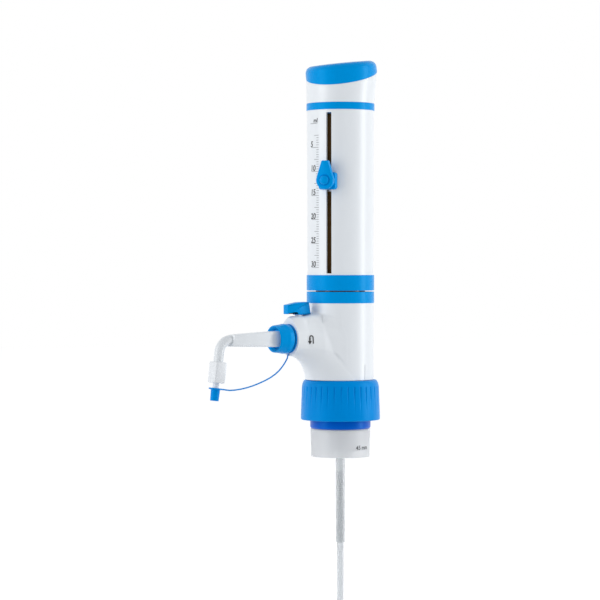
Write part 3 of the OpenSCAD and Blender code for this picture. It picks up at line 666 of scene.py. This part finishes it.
head = bmesh.new()
head.from_mesh(skin_data)
bpy.data.meshes.remove(skin_data)
for corner, outwards in (((0, 0, HEAD_FOOT_Z), (0, 0, -1)), ((0, 0, HEAD_TOP_Z), (0, 0, 1)),
                         ((BOSS_END_X, 0, 0), (-1, 0, 0))):
    cut = bmesh.ops.bisect_plane(head, geom=head.verts[:] + head.edges[:] + head.faces[:],
                                 dist=0.00001, plane_co=corner, plane_no=outwards,
                                 clear_outer=True)
    rim = [part for part in cut["geom_cut"] if isinstance(part, bmesh.types.BMEdge)]
    bmesh.ops.edgeloop_fill(head, edges=rim)
white = moulded("white_polypropylene", paint(234, 238, 241), gloss=0.32)
add_cylinder(head, NECK_R, HEAD_FOOT_Z - NECK_FOOT_Z,
             Matrix.Translation((0, 0, (HEAD_FOOT_Z + NECK_FOOT_Z) / 2)))
add_cylinder(head, SPIGOT_R, SPIGOT_H,
             Matrix.Translation((BOSS_END_X - SPIGOT_H / 2, 0, BOSS_Z)) @ along_x)
piece_from(head, "head_skin", white, "head", "valve_head")


def on_head(mesh, place_x, place_z):
    """Lays flat print against the nozzle boss, on the side that faces -Y."""
    bmesh.ops.triangulate(mesh, faces=mesh.faces)
    middle = sum(vert.co.z for vert in mesh.verts) / len(mesh.verts)
    flat = np.array([(place_x + vert.co.x, 0, place_z + vert.co.y) for vert in mesh.verts])
    near, far = np.full(len(flat), -0.03), np.full(len(flat), -0.001)
    for halving in range(20):
        flat[:, 1] = (near + far) / 2
        outside = head_field(flat) > 0
        near = np.where(outside, flat[:, 1], near)
        far = np.where(outside, far, flat[:, 1])
    for vert, point in zip(mesh.verts, flat):
        vert.co = (point[0], point[1] - (vert.co.z - middle) - 2 * INK_T, point[2])
    return mesh


def printed(outlines, thickness):
    """Flat shapes in the XY plane as thin solid print."""
    mesh = bmesh.new()
    for outline in outlines:
        face = mesh.faces.new([mesh.verts.new((x, y, 0)) for x, y in outline])
        grown = bmesh.ops.extrude_face_region(mesh, geom=[face])
        raised = [part for part in grown["geom"] if isinstance(part, bmesh.types.BMVert)]
        bmesh.ops.translate(mesh, verts=raised, vec=(0, 0, thickness))
    return mesh


def seam_ring(radius, height, reach, sides=12):
    """A level ring of points round the seam, at that reach from the axis."""
    turn = math.radians(SEAM_DEG)
    return [Vector((reach * math.sin(turn) + radius * math.cos(math.tau * k / sides),
                    -reach * math.cos(turn) + radius * math.sin(math.tau * k / sides), height))
            for k in range(sides)]


black_ink = moulded("black_print", paint(20, 20, 22), gloss=0.5)
turns = [math.pi * step / 16 for step in range(17)]
outer = [(ARCH_R * math.cos(angle), ARCH_R * math.sin(angle) + ARCH_Z) for angle in turns]
inner = [(ARCH_IN_R * math.cos(angle), ARCH_IN_R * math.sin(angle) + ARCH_Z) for angle in turns]
plain_leg = [(ARCH_IN_R, -0.0034), (ARCH_R, -0.0034), (ARCH_R, ARCH_Z), (ARCH_IN_R, ARCH_Z)]
bold_leg = [(-0.0021, -0.0014), (-0.0008, -0.0014), (-0.0008, ARCH_Z), (-0.0021, ARCH_Z)]
arrow_tip = [(-0.0032, -0.0011), (-0.0014, -0.0041), (0.0003, -0.0011)]
arch = [list(quad) for quad in zip(outer, outer[1:], inner[1:], inner)]
arrow = printed(arch + [plain_leg, bold_leg, arrow_tip], INK_T)
piece_from(on_head(arrow, ARROW_X, ARROW_Z), "flow_arrow", black_ink, "head")

seam = skinned([seam_ring(SEAM_R, SEAM_FOOT_Z, HEAD_R),
                seam_ring(SEAM_R, SEAM_TOP_Z - SEAM_R, HEAD_R),
                seam_ring(SEAM_R / 4, SEAM_TOP_Z, HEAD_R - 0.0003)])
piece_from(seam, "seam_line", white, "head")

# ---- Head band and sleeve ring ----
# The two blue bands between the valve head and the sleeve, with eased edges.

BAND_R = 0.0287
GUARD_R = 0.0211
BAND_TOP_Z = 0.1181
RING_FOOT_Z = 0.1191
RING_TOP_Z = 0.1322
RING_BORE_R = 0.0258
RING_FLOOR_T = 0.004
RING_PLAY = 0.0003
BAND_EDGE_R = 0.0005

head_band = turned(eased([(GUARD_R, HEAD_TOP_Z), (BAND_R, HEAD_TOP_Z), (BAND_R, BAND_TOP_Z),
                          (GUARD_R, BAND_TOP_Z)], BAND_EDGE_R))
piece_from(head_band, "band_skin", bright_blue, "head", "head_band")
sleeve_ring = turned(eased([(GUARD_R + RING_PLAY, RING_FOOT_Z), (BAND_R, RING_FOOT_Z),
                            (BAND_R, RING_TOP_Z), (RING_BORE_R, RING_TOP_Z),
                            (RING_BORE_R, RING_FOOT_Z + RING_FLOOR_T),
                            (GUARD_R + RING_PLAY, RING_FOOT_Z + RING_FLOOR_T)], BAND_EDGE_R))
piece_from(sleeve_ring, "ring_skin", bright_blue, "sleeve", "sleeve_ring")

# ---- Valves, barrel and piston ----
# Turned fluoropolymer valves, a glass barrel inside a dark amber guard tube,
# and the steel rod that joins the piston to the sleeve.

turned_white = moulded("turned_fluoropolymer", paint(236, 236, 234),
                       gloss=0.38)
dark_amber = moulded("dark_amber_tube", paint(116, 86, 50), gloss=0.2)
black_rubber = moulded("fluoroelastomer", paint(34, 34, 36), gloss=0.5)
steel = moulded("turned_steel", paint(186, 188, 192), gloss=0.26, metallic=0.9)
clear_tube = moulded("clear_fluoropolymer_tube", paint(240, 243, 245), gloss=0.18,
                     transmission=0.75)
glass = moulded("borosilicate_glass", paint(244, 248, 248), gloss=0.04,
                transmission=0.95)
dress(turned_white, "valve_block", "suction_valve", "outlet_insert", "barrel_nut", "spindle",
      "piston", "piston_seal")
dress(white, "rod_plate")
dress(dark_amber, "guard_tube")
dress(bright_blue, "stop_ring")
dress(black_rubber, "barrel_seal", "spindle_seal")
dress(steel, "piston_rod", "calibration_nut", "clamp_plate")
dress(clear_tube, "feed_tube_fixed", "feed_tube_sliding", "return_tube")
dress(glass, "glass_barrel", "suction_ball", "discharge_ball")

# ---- Recirculation knob ----
# A short lever over the boss: low at the front, thick over its spindle, and
# arched underneath.

KNOB_Z = 0.0989
KNOB_W = 0.0074


def slab(outline, width, corner, edge, place=Matrix()):
    """A plate cut to an outline in the XZ plane, with corners and edges rounded."""
    mesh = bmesh.new()
    face = mesh.faces.new([mesh.verts.new((x, -width / 2, z)) for x, z in outline])
    grown = bmesh.ops.extrude_face_region(mesh, geom=[face])
    moved = [part for part in grown["geom"] if isinstance(part, bmesh.types.BMVert)]
    bmesh.ops.translate(mesh, verts=moved, vec=(0, width, 0))
    bmesh.ops.recalc_face_normals(mesh, faces=mesh.faces)
    across = [line for line in mesh.edges
              if abs(line.verts[0].co.y - line.verts[1].co.y) > width / 2]
    bmesh.ops.bevel(mesh, geom=across, offset=corner, segments=4, affect="EDGES",
                    profile=0.5, material=-1)
    rims = [line for line in mesh.edges
            if abs(line.verts[0].co.y - line.verts[1].co.y) < width / 100
            and abs(abs(line.verts[0].co.y) - width / 2) < width / 100]
    bmesh.ops.bevel(mesh, geom=rims, offset=edge, segments=3, affect="EDGES",
                    profile=0.5, material=-1)
    mesh.transform(place)
    return mesh


knob = slab([(-0.0131, 0.0006), (-0.0050, 0.0016), (-0.0036, 0.0012), (-0.0034, 0),
             (0.0095, 0), (0.0105, 0.0002), (0.0085, 0.0108), (-0.0020, 0.0106),
             (-0.0131, 0.0084)], KNOB_W, 0.0004, 0.0008,
            Matrix.Translation((SPINDLE_X, 0, KNOB_Z)))
piece_from(knob, "knob_skin", bright_blue, "recirculation", "recirculation_knob")

# ---- Measuring sleeve ----
# The white sleeve with its slot. Its scale runs down the left of the slot:
# a tick every half millilitre, a longer one every 2.5, and a number every 5.

SLEEVE_FOOT_Z = 0.1322
SLEEVE_FOOT_R = 0.0280
SLEEVE_DRAFT = 0.0005 / 0.1403
ZERO_Z = 0.2598
MILLILITRE = 0.00404
TICK_END_DEG = 193.5
TICK_T = 0.00028
NUMBER_H = 0.0047
NUMBER_DEG = 172.2
FULL_ML = 30
ZERO_TICK_DEG = 190.5
TICK_5_ML = 0.0093
TICK_2_5_ML = 0.0052
TICK_HALF_ML = 0.0027
UNIT_H = 0.0036
UNIT_DEG = 186
SHEAR = 0.1

grey_ink = moulded("grey_print", paint(96, 98, 102), gloss=0.5)
dress(white, "measuring_sleeve")


def sleeve_r(height):
    """The sleeve's radius at a height."""
    return SLEEVE_FOOT_R + SLEEVE_DRAFT * (height - SLEEVE_FOOT_Z)


def tick(height, length, end_deg):
    """One line of the scale, which ends at end_deg and runs to its left."""
    bar = printed([[(-length, -TICK_T / 2), (0, -TICK_T / 2), (0, TICK_T / 2),
                    (-length, TICK_T / 2)]], INK_T)
    bmesh.ops.subdivide_edges(bar, edges=[line for line in bar.edges
                                          if line.calc_length() > length / 2], cuts=6)
    return wrap(bar, sleeve_r(height), end_deg, height)


def joined(meshes):
    """Several meshes in the making as one."""
    whole = bmesh.new()
    for mesh in meshes:
        data = bpy.data.meshes.new("part")
        mesh.to_mesh(data)
        mesh.free()
        whole.from_mesh(data)
        bpy.data.meshes.remove(data)
    return whole


ticks = [tick(ZERO_Z, TICK_5_ML, ZERO_TICK_DEG)]
numbers = []
for half in range(5, 2 * FULL_ML + 1):
    height = ZERO_Z - half * MILLILITRE / 2
    length = TICK_5_ML if half % 10 == 0 else TICK_2_5_ML if half % 5 == 0 else TICK_HALF_ML
    ticks.append(tick(height, length, TICK_END_DEG))
    if half % 10 == 0:
        number = lettering(str(half // 2), NUMBER_H, INK_T, SHEAR, "LEFT", weight=0.00012)
        numbers.append(wrap(number, sleeve_r(height), NUMBER_DEG, height + 0.0006))
unit = lettering("ml", UNIT_H, INK_T, SHEAR, weight=0.0001)
numbers.append(wrap(unit, sleeve_r(ZERO_Z), UNIT_DEG, ZERO_Z + 0.0008))
piece_from(joined(ticks), "scale_ticks", grey_ink, "sleeve")
piece_from(joined(numbers), "scale_numbers", black_ink, "sleeve")

# ---- Volume setting ----
# A blue block that slides in front of the slot, and the lever that clamps it.
# The lever is kite shaped, with a domed screw head in its round end.

SLOT_DEG = 213.5
INDEX_Z = 0.2105
BLOCK_IN_X = 0.0290
BLOCK_OUT_X = 0.0335
BLOCK_W = 0.0150
BLOCK_H = 0.0144
BLOCK_UP = 0.0006
BLOCK_CORNER_R = 0.0022
BLOCK_SLICE = 0.0012
LEVER_X = 0.0338
LEVER_T = 0.0056
LEVER_R = 0.0076
LEVER_TIP_R = 0.0032
LEVER_REACH = 0.0165
LEVER_EDGE_R = 0.0012
SCREW_Z = 0.0010
DOME_R = 0.0040
DOME_H = 0.0032

facing_slot = Matrix.Rotation(math.radians(SLOT_DEG), 4, "Z") @ Matrix.Translation((0, 0, INDEX_Z))
block = bmesh.new()
block_mid = (BLOCK_IN_X + BLOCK_OUT_X) / 2 - 0.0010
bmesh.ops.create_cube(block, size=1, matrix=Matrix.Translation((block_mid, 0, BLOCK_UP))
                      @ Matrix.Diagonal((BLOCK_OUT_X - BLOCK_IN_X + 0.0020, BLOCK_W, BLOCK_H, 1)))
corners = [line for line in block.edges
           if abs(line.verts[0].co.x - line.verts[1].co.x) > 0.004]
bmesh.ops.bevel(block, geom=corners, offset=BLOCK_CORNER_R, segments=5, affect="EDGES",
                profile=0.5, material=-1)
face_rim = [line for line in block.edges if min(vert.co.x for vert in line.verts) > block_mid]
bmesh.ops.bevel(block, geom=face_rim, offset=0.0010, segments=3, affect="EDGES", profile=0.5,
                material=-1)
for step in range(-4, 5):
    bmesh.ops.bisect_plane(block, geom=block.verts[:] + block.edges[:] + block.faces[:],
                           dist=0.000001, plane_co=(0, step * BLOCK_SLICE, 0),
                           plane_no=(0, 1, 0))
for vert in block.verts:  # the back follows the sleeve's round
    if vert.co.x < block_mid:
        vert.co.x = math.sqrt(max(0.0, BLOCK_IN_X ** 2 - vert.co.y ** 2))
block.transform(facing_slot)
piece_from(block, "block_skin", bright_blue, "volume_slide", "volume_block")

kite = []
lean = math.asin((LEVER_R - LEVER_TIP_R) / (LEVER_REACH - LEVER_TIP_R))
for step in range(25):
    angle = math.pi - lean + (math.pi + 2 * lean) * step / 24
    kite.append((LEVER_R * math.cos(angle), LEVER_R * math.sin(angle)))
for side in (1, -1):
    for step in range(5):
        angle = math.radians(90 * step / 4 + (0 if side > 0 else 90))
        kite.append((side * (LEVER_TIP_R - LEVER_EDGE_R) + LEVER_EDGE_R * math.cos(angle),
                     LEVER_REACH - LEVER_EDGE_R + LEVER_EDGE_R * math.sin(angle)))
lever = bmesh.new()
face = lever.faces.new([lever.verts.new((LEVER_X, x, z)) for x, z in kite])
grown = bmesh.ops.extrude_face_region(lever, geom=[face])
raised = [part for part in grown["geom"] if isinstance(part, bmesh.types.BMVert)]
bmesh.ops.translate(lever, verts=raised, vec=(LEVER_T, 0, 0))
bmesh.ops.recalc_face_normals(lever, faces=lever.faces)
rims = [line for line in lever.edges
        if abs(line.verts[0].co.x - line.verts[1].co.x) < LEVER_T / 2]
bmesh.ops.bevel(lever, geom=rims, offset=LEVER_EDGE_R, segments=4, affect="EDGES", profile=0.5,
                material=-1)
dome = turned([(0.0001, LEVER_T - 0.0010), (DOME_R + 0.0008, LEVER_T - 0.0010),
               (DOME_R + 0.0006, LEVER_T + 0.0006), (DOME_R, LEVER_T + 0.0002)]
              + [(DOME_R * math.cos(math.radians(a)) + 0.0001,
                  LEVER_T + DOME_H * math.sin(math.radians(a))) for a in range(10, 91, 8)], 48)
dome.transform(Matrix.Translation((LEVER_X, 0, 0)) @ Matrix.Rotation(math.radians(90), 4, "Y"))
lever = joined([lever, dome])
lever.transform(facing_slot @ Matrix.Translation((0, 0, SCREW_Z)))
piece_from(lever, "lever_skin", bright_blue, "volume_lock", "volume_lever")

# ---- Top grip ----
# The band, the white housing and the blue cap. The grip widens upwards, its
# top slopes down towards the nozzle, and the line between its halves slopes
# down towards the slot.

BAND_FOOT_Z = 0.2713
TOP_BAND_R = 0.0289
GRIP_FOOT_Z = 0.2774
GRIP_TOP_Z = 0.3122
GRIP_FOOT_R = 0.0287
GRIP_R = 0.0303
GRIP_SHIFT = 0.0024
GRIP_TILT_DEG = 7
GRIP_EDGE = 0.0060
GRIP_CROWN = 0.0005
GRIP_SEAM_EASE = 0.0003
PUCK_H = 0.0110
CUT_Z = 0.3012
CUT_TILT_DEG = 18
GRIP_STEPS = 128

top_band = turned(eased([(RING_BORE_R, BAND_FOOT_Z), (TOP_BAND_R, BAND_FOOT_Z),
                         (TOP_BAND_R, GRIP_FOOT_Z), (RING_BORE_R, GRIP_FOOT_Z)], BAND_EDGE_R))
piece_from(top_band, "top_band_skin", bright_blue, "sleeve", "top_band")
slot_turn = Matrix.Rotation(math.radians(SLOT_DEG), 4, "Z")
puck = (Matrix.Translation((GRIP_SHIFT / 2, 0, GRIP_TOP_Z - PUCK_H))
        @ Matrix.Rotation(math.radians(-GRIP_TILT_DEG), 4, "Y"))


def grip_ring(radius, height, place):
    """One ring of the grip; place is the frame that it is flat in."""
    return [place @ Vector((radius * math.cos(math.tau * step / GRIP_STEPS),
                            radius * math.sin(math.tau * step / GRIP_STEPS), height))
            for step in range(GRIP_STEPS)]


low_ring = grip_ring(GRIP_FOOT_R, GRIP_FOOT_Z, Matrix())
high_ring = grip_ring(GRIP_R, 0, puck)
rings = [[a.lerp(b, step / 6) for a, b in zip(low_ring, high_ring)] for step in range(7)]
rings.append(grip_ring(GRIP_R, PUCK_H - GRIP_EDGE - GRIP_CROWN, puck))
for step in range(1, 11):
    angle = math.radians(step * 9)
    rings.append(grip_ring(GRIP_R - GRIP_EDGE * (1 - math.cos(angle)),
                           PUCK_H - GRIP_EDGE * (1 - math.sin(angle)) - GRIP_CROWN, puck))
rings.append(grip_ring(GRIP_R * 0.4, PUCK_H, puck))


def grip_part(above):
    """The part of the grip above or below the slanted line, with an eased edge."""
    mesh = skinned(rings)
    tilt = Matrix.Rotation(math.radians(CUT_TILT_DEG), 4, "Y")
    outwards = slot_turn @ tilt @ Vector((0, 0, -1 if above else 1))
    cut = bmesh.ops.bisect_plane(mesh, geom=mesh.verts[:] + mesh.edges[:] + mesh.faces[:],
                                 dist=0.00001, plane_co=(0, 0, CUT_Z), plane_no=outwards,
                                 clear_outer=True)
    rim = [part for part in cut["geom_cut"] if isinstance(part, bmesh.types.BMEdge)]
    lid = bmesh.ops.edgeloop_fill(mesh, edges=rim)["faces"]
    bmesh.ops.recalc_face_normals(mesh, faces=mesh.faces)
    bmesh.ops.bevel(mesh, geom=lid[0].edges[:], offset=GRIP_SEAM_EASE, segments=2,
                    affect="EDGES", profile=0.5, material=-1)
    return mesh


piece_from(grip_part(False), "housing_skin", white, "sleeve", "top_housing")
piece_from(grip_part(True), "cap_skin", bright_blue, "sleeve", "top_cap")

# ---- Lock nut and arm ----
# The blue nut bulges near its foot and tapers to a dished face round the arm's
# root, where a thin blue ring fills the gap. The white arm is flat sided and
# gets lower towards its slanted end.

NUT_X = 0.0554
NUT_H = 0.0136
NUT_ROOT_R = 0.0126
NUT_FACE_R = 0.0109
NUT_BORE_R = 0.0106
NUT_OPENING_R = 0.0081
NUT_BULGE_H = 0.0050
NUT_GRIP_H = 0.0070
NUT_FLOOR_H = 0.0076
NUT_DISH_H = 0.0030
ROOT_RING_BORE_R = 0.0030
FLANGE_FOOT_X = 0.0602
FLANGE_TOP_X = 0.0621
FLANGE_R = 0.0100
ARM_W = 0.0106
ARM_ROOT_X = 0.0617
ARM_END_X = 0.1124
ARM_ROOT_H = 0.0131
ARM_END_H = 0.0098
ARM_DROP = 0.0005
ARM_BLOCK_L = 0.0085
ARM_SLANT = 0.18
ARM_CORNER_R = 0.0016
ARM_EASE = 0.0008
TUBE_R = 0.0040

out_along_nozzle = Matrix.Translation((0, 0, BOSS_Z)) @ Matrix.Rotation(math.radians(-90), 4, "Y")
nut = turned(eased([(NUT_BORE_R, NUT_X), (NUT_ROOT_R - 0.0004, NUT_X),
                    (NUT_ROOT_R, NUT_X + NUT_BULGE_H), (NUT_ROOT_R - 0.0005, NUT_X + NUT_GRIP_H),
                    (NUT_FACE_R + 0.0004, NUT_X + NUT_H),
                    (NUT_FACE_R - 0.0006, NUT_X + NUT_H),
                    (NUT_OPENING_R, NUT_X + NUT_H - NUT_DISH_H),
                    (NUT_OPENING_R, NUT_X + NUT_FLOOR_H), (NUT_BORE_R, NUT_X + NUT_FLOOR_H)],
                   0.0009))
nut.transform(out_along_nozzle)
piece_from(nut, "nut_skin", bright_blue, "lock_nut", "nozzle_nut")


def rounded_box_ring(width, height, corner, place, steps=6):
    """A ring of a rounded rectangle in the YZ plane, moved by place."""
    ring = []
    for side_y, side_z, start in ((1, 1, 0), (-1, 1, 90), (-1, -1, 180), (1, -1, 270)):
        for step in range(steps + 1):
            angle = math.radians(start + 90 * step / steps)
            ring.append(place @ Vector((0, side_y * (width / 2 - corner) + corner * math.cos(angle),
                                        side_z * (height / 2 - corner)
                                        + corner * math.sin(angle))))
    return ring


def leaning(x, z, slant):
    """A frame for an arm section at x, whose top leans back by slant."""
    place = Matrix.Translation((-x, 0, z))
    place[0][2] = slant
    return place


arm_sections = []
for x, height, low, slant, inset in (
        (ARM_ROOT_X, ARM_ROOT_H, 0, 0, 0), (ARM_ROOT_X + ARM_BLOCK_L, ARM_ROOT_H, 0, 0, 0),
        (ARM_END_X - ARM_EASE, ARM_END_H + 0.0001, ARM_DROP, ARM_SLANT, 0),
        (ARM_END_X - ARM_EASE / 4, ARM_END_H, ARM_DROP, ARM_SLANT, ARM_EASE / 4),
        (ARM_END_X, ARM_END_H, ARM_DROP, ARM_SLANT, ARM_EASE)):
    arm_sections.append(rounded_box_ring(ARM_W - 2 * inset, height - 2 * inset, ARM_CORNER_R,
                                         leaning(x, BOSS_Z - low, slant)))
arm = skinned(arm_sections)
flange = turned(eased([(ROOT_RING_BORE_R, FLANGE_FOOT_X), (FLANGE_R, FLANGE_FOOT_X),
                       (FLANGE_R, FLANGE_TOP_X), (ROOT_RING_BORE_R, FLANGE_TOP_X)], 0.0003), 64)
flange.transform(out_along_nozzle)
piece_from(joined([arm, flange]), "arm_skin", white, "head", "arm_sheath")
ring_r = NUT_OPENING_R - 0.0002
ring_top_x = NUT_X + NUT_H - NUT_DISH_H - 0.0004
root_ring = turned(eased([(ROOT_RING_BORE_R, NUT_X + NUT_GRIP_H), (ring_r, NUT_X + NUT_GRIP_H),
                          (ring_r, ring_top_x), (ROOT_RING_BORE_R, ring_top_x)], 0.0002), 64)
root_ring.transform(out_along_nozzle)
piece_from(root_ring, "arm_root_ring", bright_blue, "head")

# ---- Delivery tube ----
# A white elbow duct that runs through the arm, bends down past its end and leans
# outwards. Its straight leg carries the end sleeve.

DUCT_ROOT_X = ARM_ROOT_X + 0.0045
BEND_R = 0.0110
BEND_DEG = 83
LEG_H = 0.0235
TUBE_BORE_R = 0.0028
BEND_STEPS = 20

bend_end_x = ARM_END_X + BEND_R * math.sin(math.radians(BEND_DEG))
bend_end_z = BOSS_Z - BEND_R * (1 - math.cos(math.radians(BEND_DEG)))
leg_lean = math.radians(90 - BEND_DEG)
leg_frame = Matrix.Translation((-bend_end_x, 0, bend_end_z)) @ Matrix.Rotation(leg_lean, 4, "Y")


def pipe(stations, radius, bore, sides=32):
    """A hollow tube through (point, direction) stations in the XZ plane."""
    mesh = bmesh.new()
    skins = []
    for reach in (radius, bore):
        rows = []
        for point, ahead in stations:
            up = Vector((0, 1, 0)).cross(ahead).normalized()
            rows.append([mesh.verts.new(point + reach * (math.cos(math.tau * k / sides) * up
                                        + math.sin(math.tau * k / sides) * Vector((0, 1, 0))))
                         for k in range(sides)])
        skins.append(rows)
    for rows in skins:
        for low, high in zip(rows, rows[1:]):
            for a, b, c, d in zip(low, low[1:] + low[:1], high[1:] + high[:1], high):
                mesh.faces.new((a, b, c, d))
    for end in (0, -1):
        outer, inner = skins[0][end], skins[1][end]
        for a, b, c, d in zip(outer, outer[1:] + outer[:1], inner[1:] + inner[:1], inner):
            mesh.faces.new((a, b, c, d))
    return mesh


stations = [(Vector((-DUCT_ROOT_X, 0, BOSS_Z)), Vector((-1, 0, 0)))]
for step in range(BEND_STEPS + 1):
    angle = math.radians(BEND_DEG * step / BEND_STEPS)
    stations.append((Vector((-ARM_END_X - BEND_R * math.sin(angle), 0,
                             BOSS_Z - BEND_R * (1 - math.cos(angle)))),
                     Vector((-math.cos(angle), 0, -math.sin(angle)))))
stations.append((leg_frame @ Vector((0, 0, -LEG_H)), stations[-1][1]))
duct_white = moulded("natural_fluoropolymer_duct", paint(221, 225, 228),
                     gloss=0.3)
piece_from(pipe(stations, TUBE_R, TUBE_BORE_R), "duct_skin", duct_white, "nozzle",
           "delivery_tube")

# ---- End sleeve and tip ----
# The sleeve slides on the leg of the duct and carries the narrow tip.

TIP_SLEEVE_S = 0.0082
TIP_SLEEVE_H = 0.0173
TIP_SLEEVE_X = 0.0106
TIP_SLEEVE_Y = 0.0116
TIP_SLEEVE_CORNER_R = 0.0018
TIP_SLEEVE_EASE = 0.0006
TIP_OVERLAP = 0.0010
TIP_R = 0.0026
TIP_H = 0.0125
TIP_BORE_R = 0.0014

sleeve_end = TIP_SLEEVE_S + TIP_SLEEVE_H
lay_down = Matrix.Rotation(math.radians(90), 4, "Y")
end_sleeve = skinned([
    rounded_box_ring(TIP_SLEEVE_Y - 2 * inset, TIP_SLEEVE_X - 2 * inset, TIP_SLEEVE_CORNER_R,
                     leg_frame @ Matrix.Translation((0, 0, -s)) @ lay_down)
    for s, inset in ((TIP_SLEEVE_S, TIP_SLEEVE_EASE),
                     (TIP_SLEEVE_S + TIP_SLEEVE_EASE / 3, TIP_SLEEVE_EASE / 3),
                     (TIP_SLEEVE_S + TIP_SLEEVE_EASE, 0), (sleeve_end - TIP_SLEEVE_EASE, 0),
                     (sleeve_end - TIP_SLEEVE_EASE / 3, TIP_SLEEVE_EASE / 3),
                     (sleeve_end, TIP_SLEEVE_EASE))])
tip_tube = turned(eased([(TIP_BORE_R, -sleeve_end - TIP_H), (TIP_R, -sleeve_end - TIP_H),
                         (TIP_R, -sleeve_end + TIP_OVERLAP),
                         (TIP_BORE_R, -sleeve_end + TIP_OVERLAP)], 0.0002), 48)
tip_tube.transform(leg_frame)
end_white = moulded("white_fluoropolymer_sleeve", paint(227, 230, 233), gloss=0.35)
piece_from(joined([end_sleeve, tip_tube]), "end_sleeve_skin", end_white, "nozzle_end", "tip_sleeve")

# ---- Tip cap ----
# A soft blue cap with a thin flange, held by the tether.

CAP_S = 0.0297
CAP_R = 0.0038
CAP_FOOT_R = 0.0035
CAP_FLANGE_R = 0.0057
CAP_FLANGE_T = 0.0011
CAP_H = 0.0106
CAP_FLOOR_T = 0.0016
CAP_FIT = 0.00005
CAP_AXIS_R = 0.00005  # closes the bottom without slivers at the axis

cap = turned(eased([(CAP_AXIS_R, -CAP_S - CAP_H), (CAP_FOOT_R, -CAP_S - CAP_H),
                    (CAP_R, -CAP_S - CAP_FLANGE_T - 0.0003),
                    (CAP_FLANGE_R, -CAP_S - CAP_FLANGE_T), (CAP_FLANGE_R, -CAP_S),
                    (TIP_R + CAP_FIT, -CAP_S), (TIP_R + CAP_FIT, -CAP_S - CAP_H + CAP_FLOOR_T),
                    (CAP_AXIS_R, -CAP_S - CAP_H + CAP_FLOOR_T)], 0.0004), 64)
cap.transform(leg_frame)
piece_from(cap, "cap_of_tip", soft_blue, "cap", "tip_cap")
dress(soft_blue, "tether_ring")
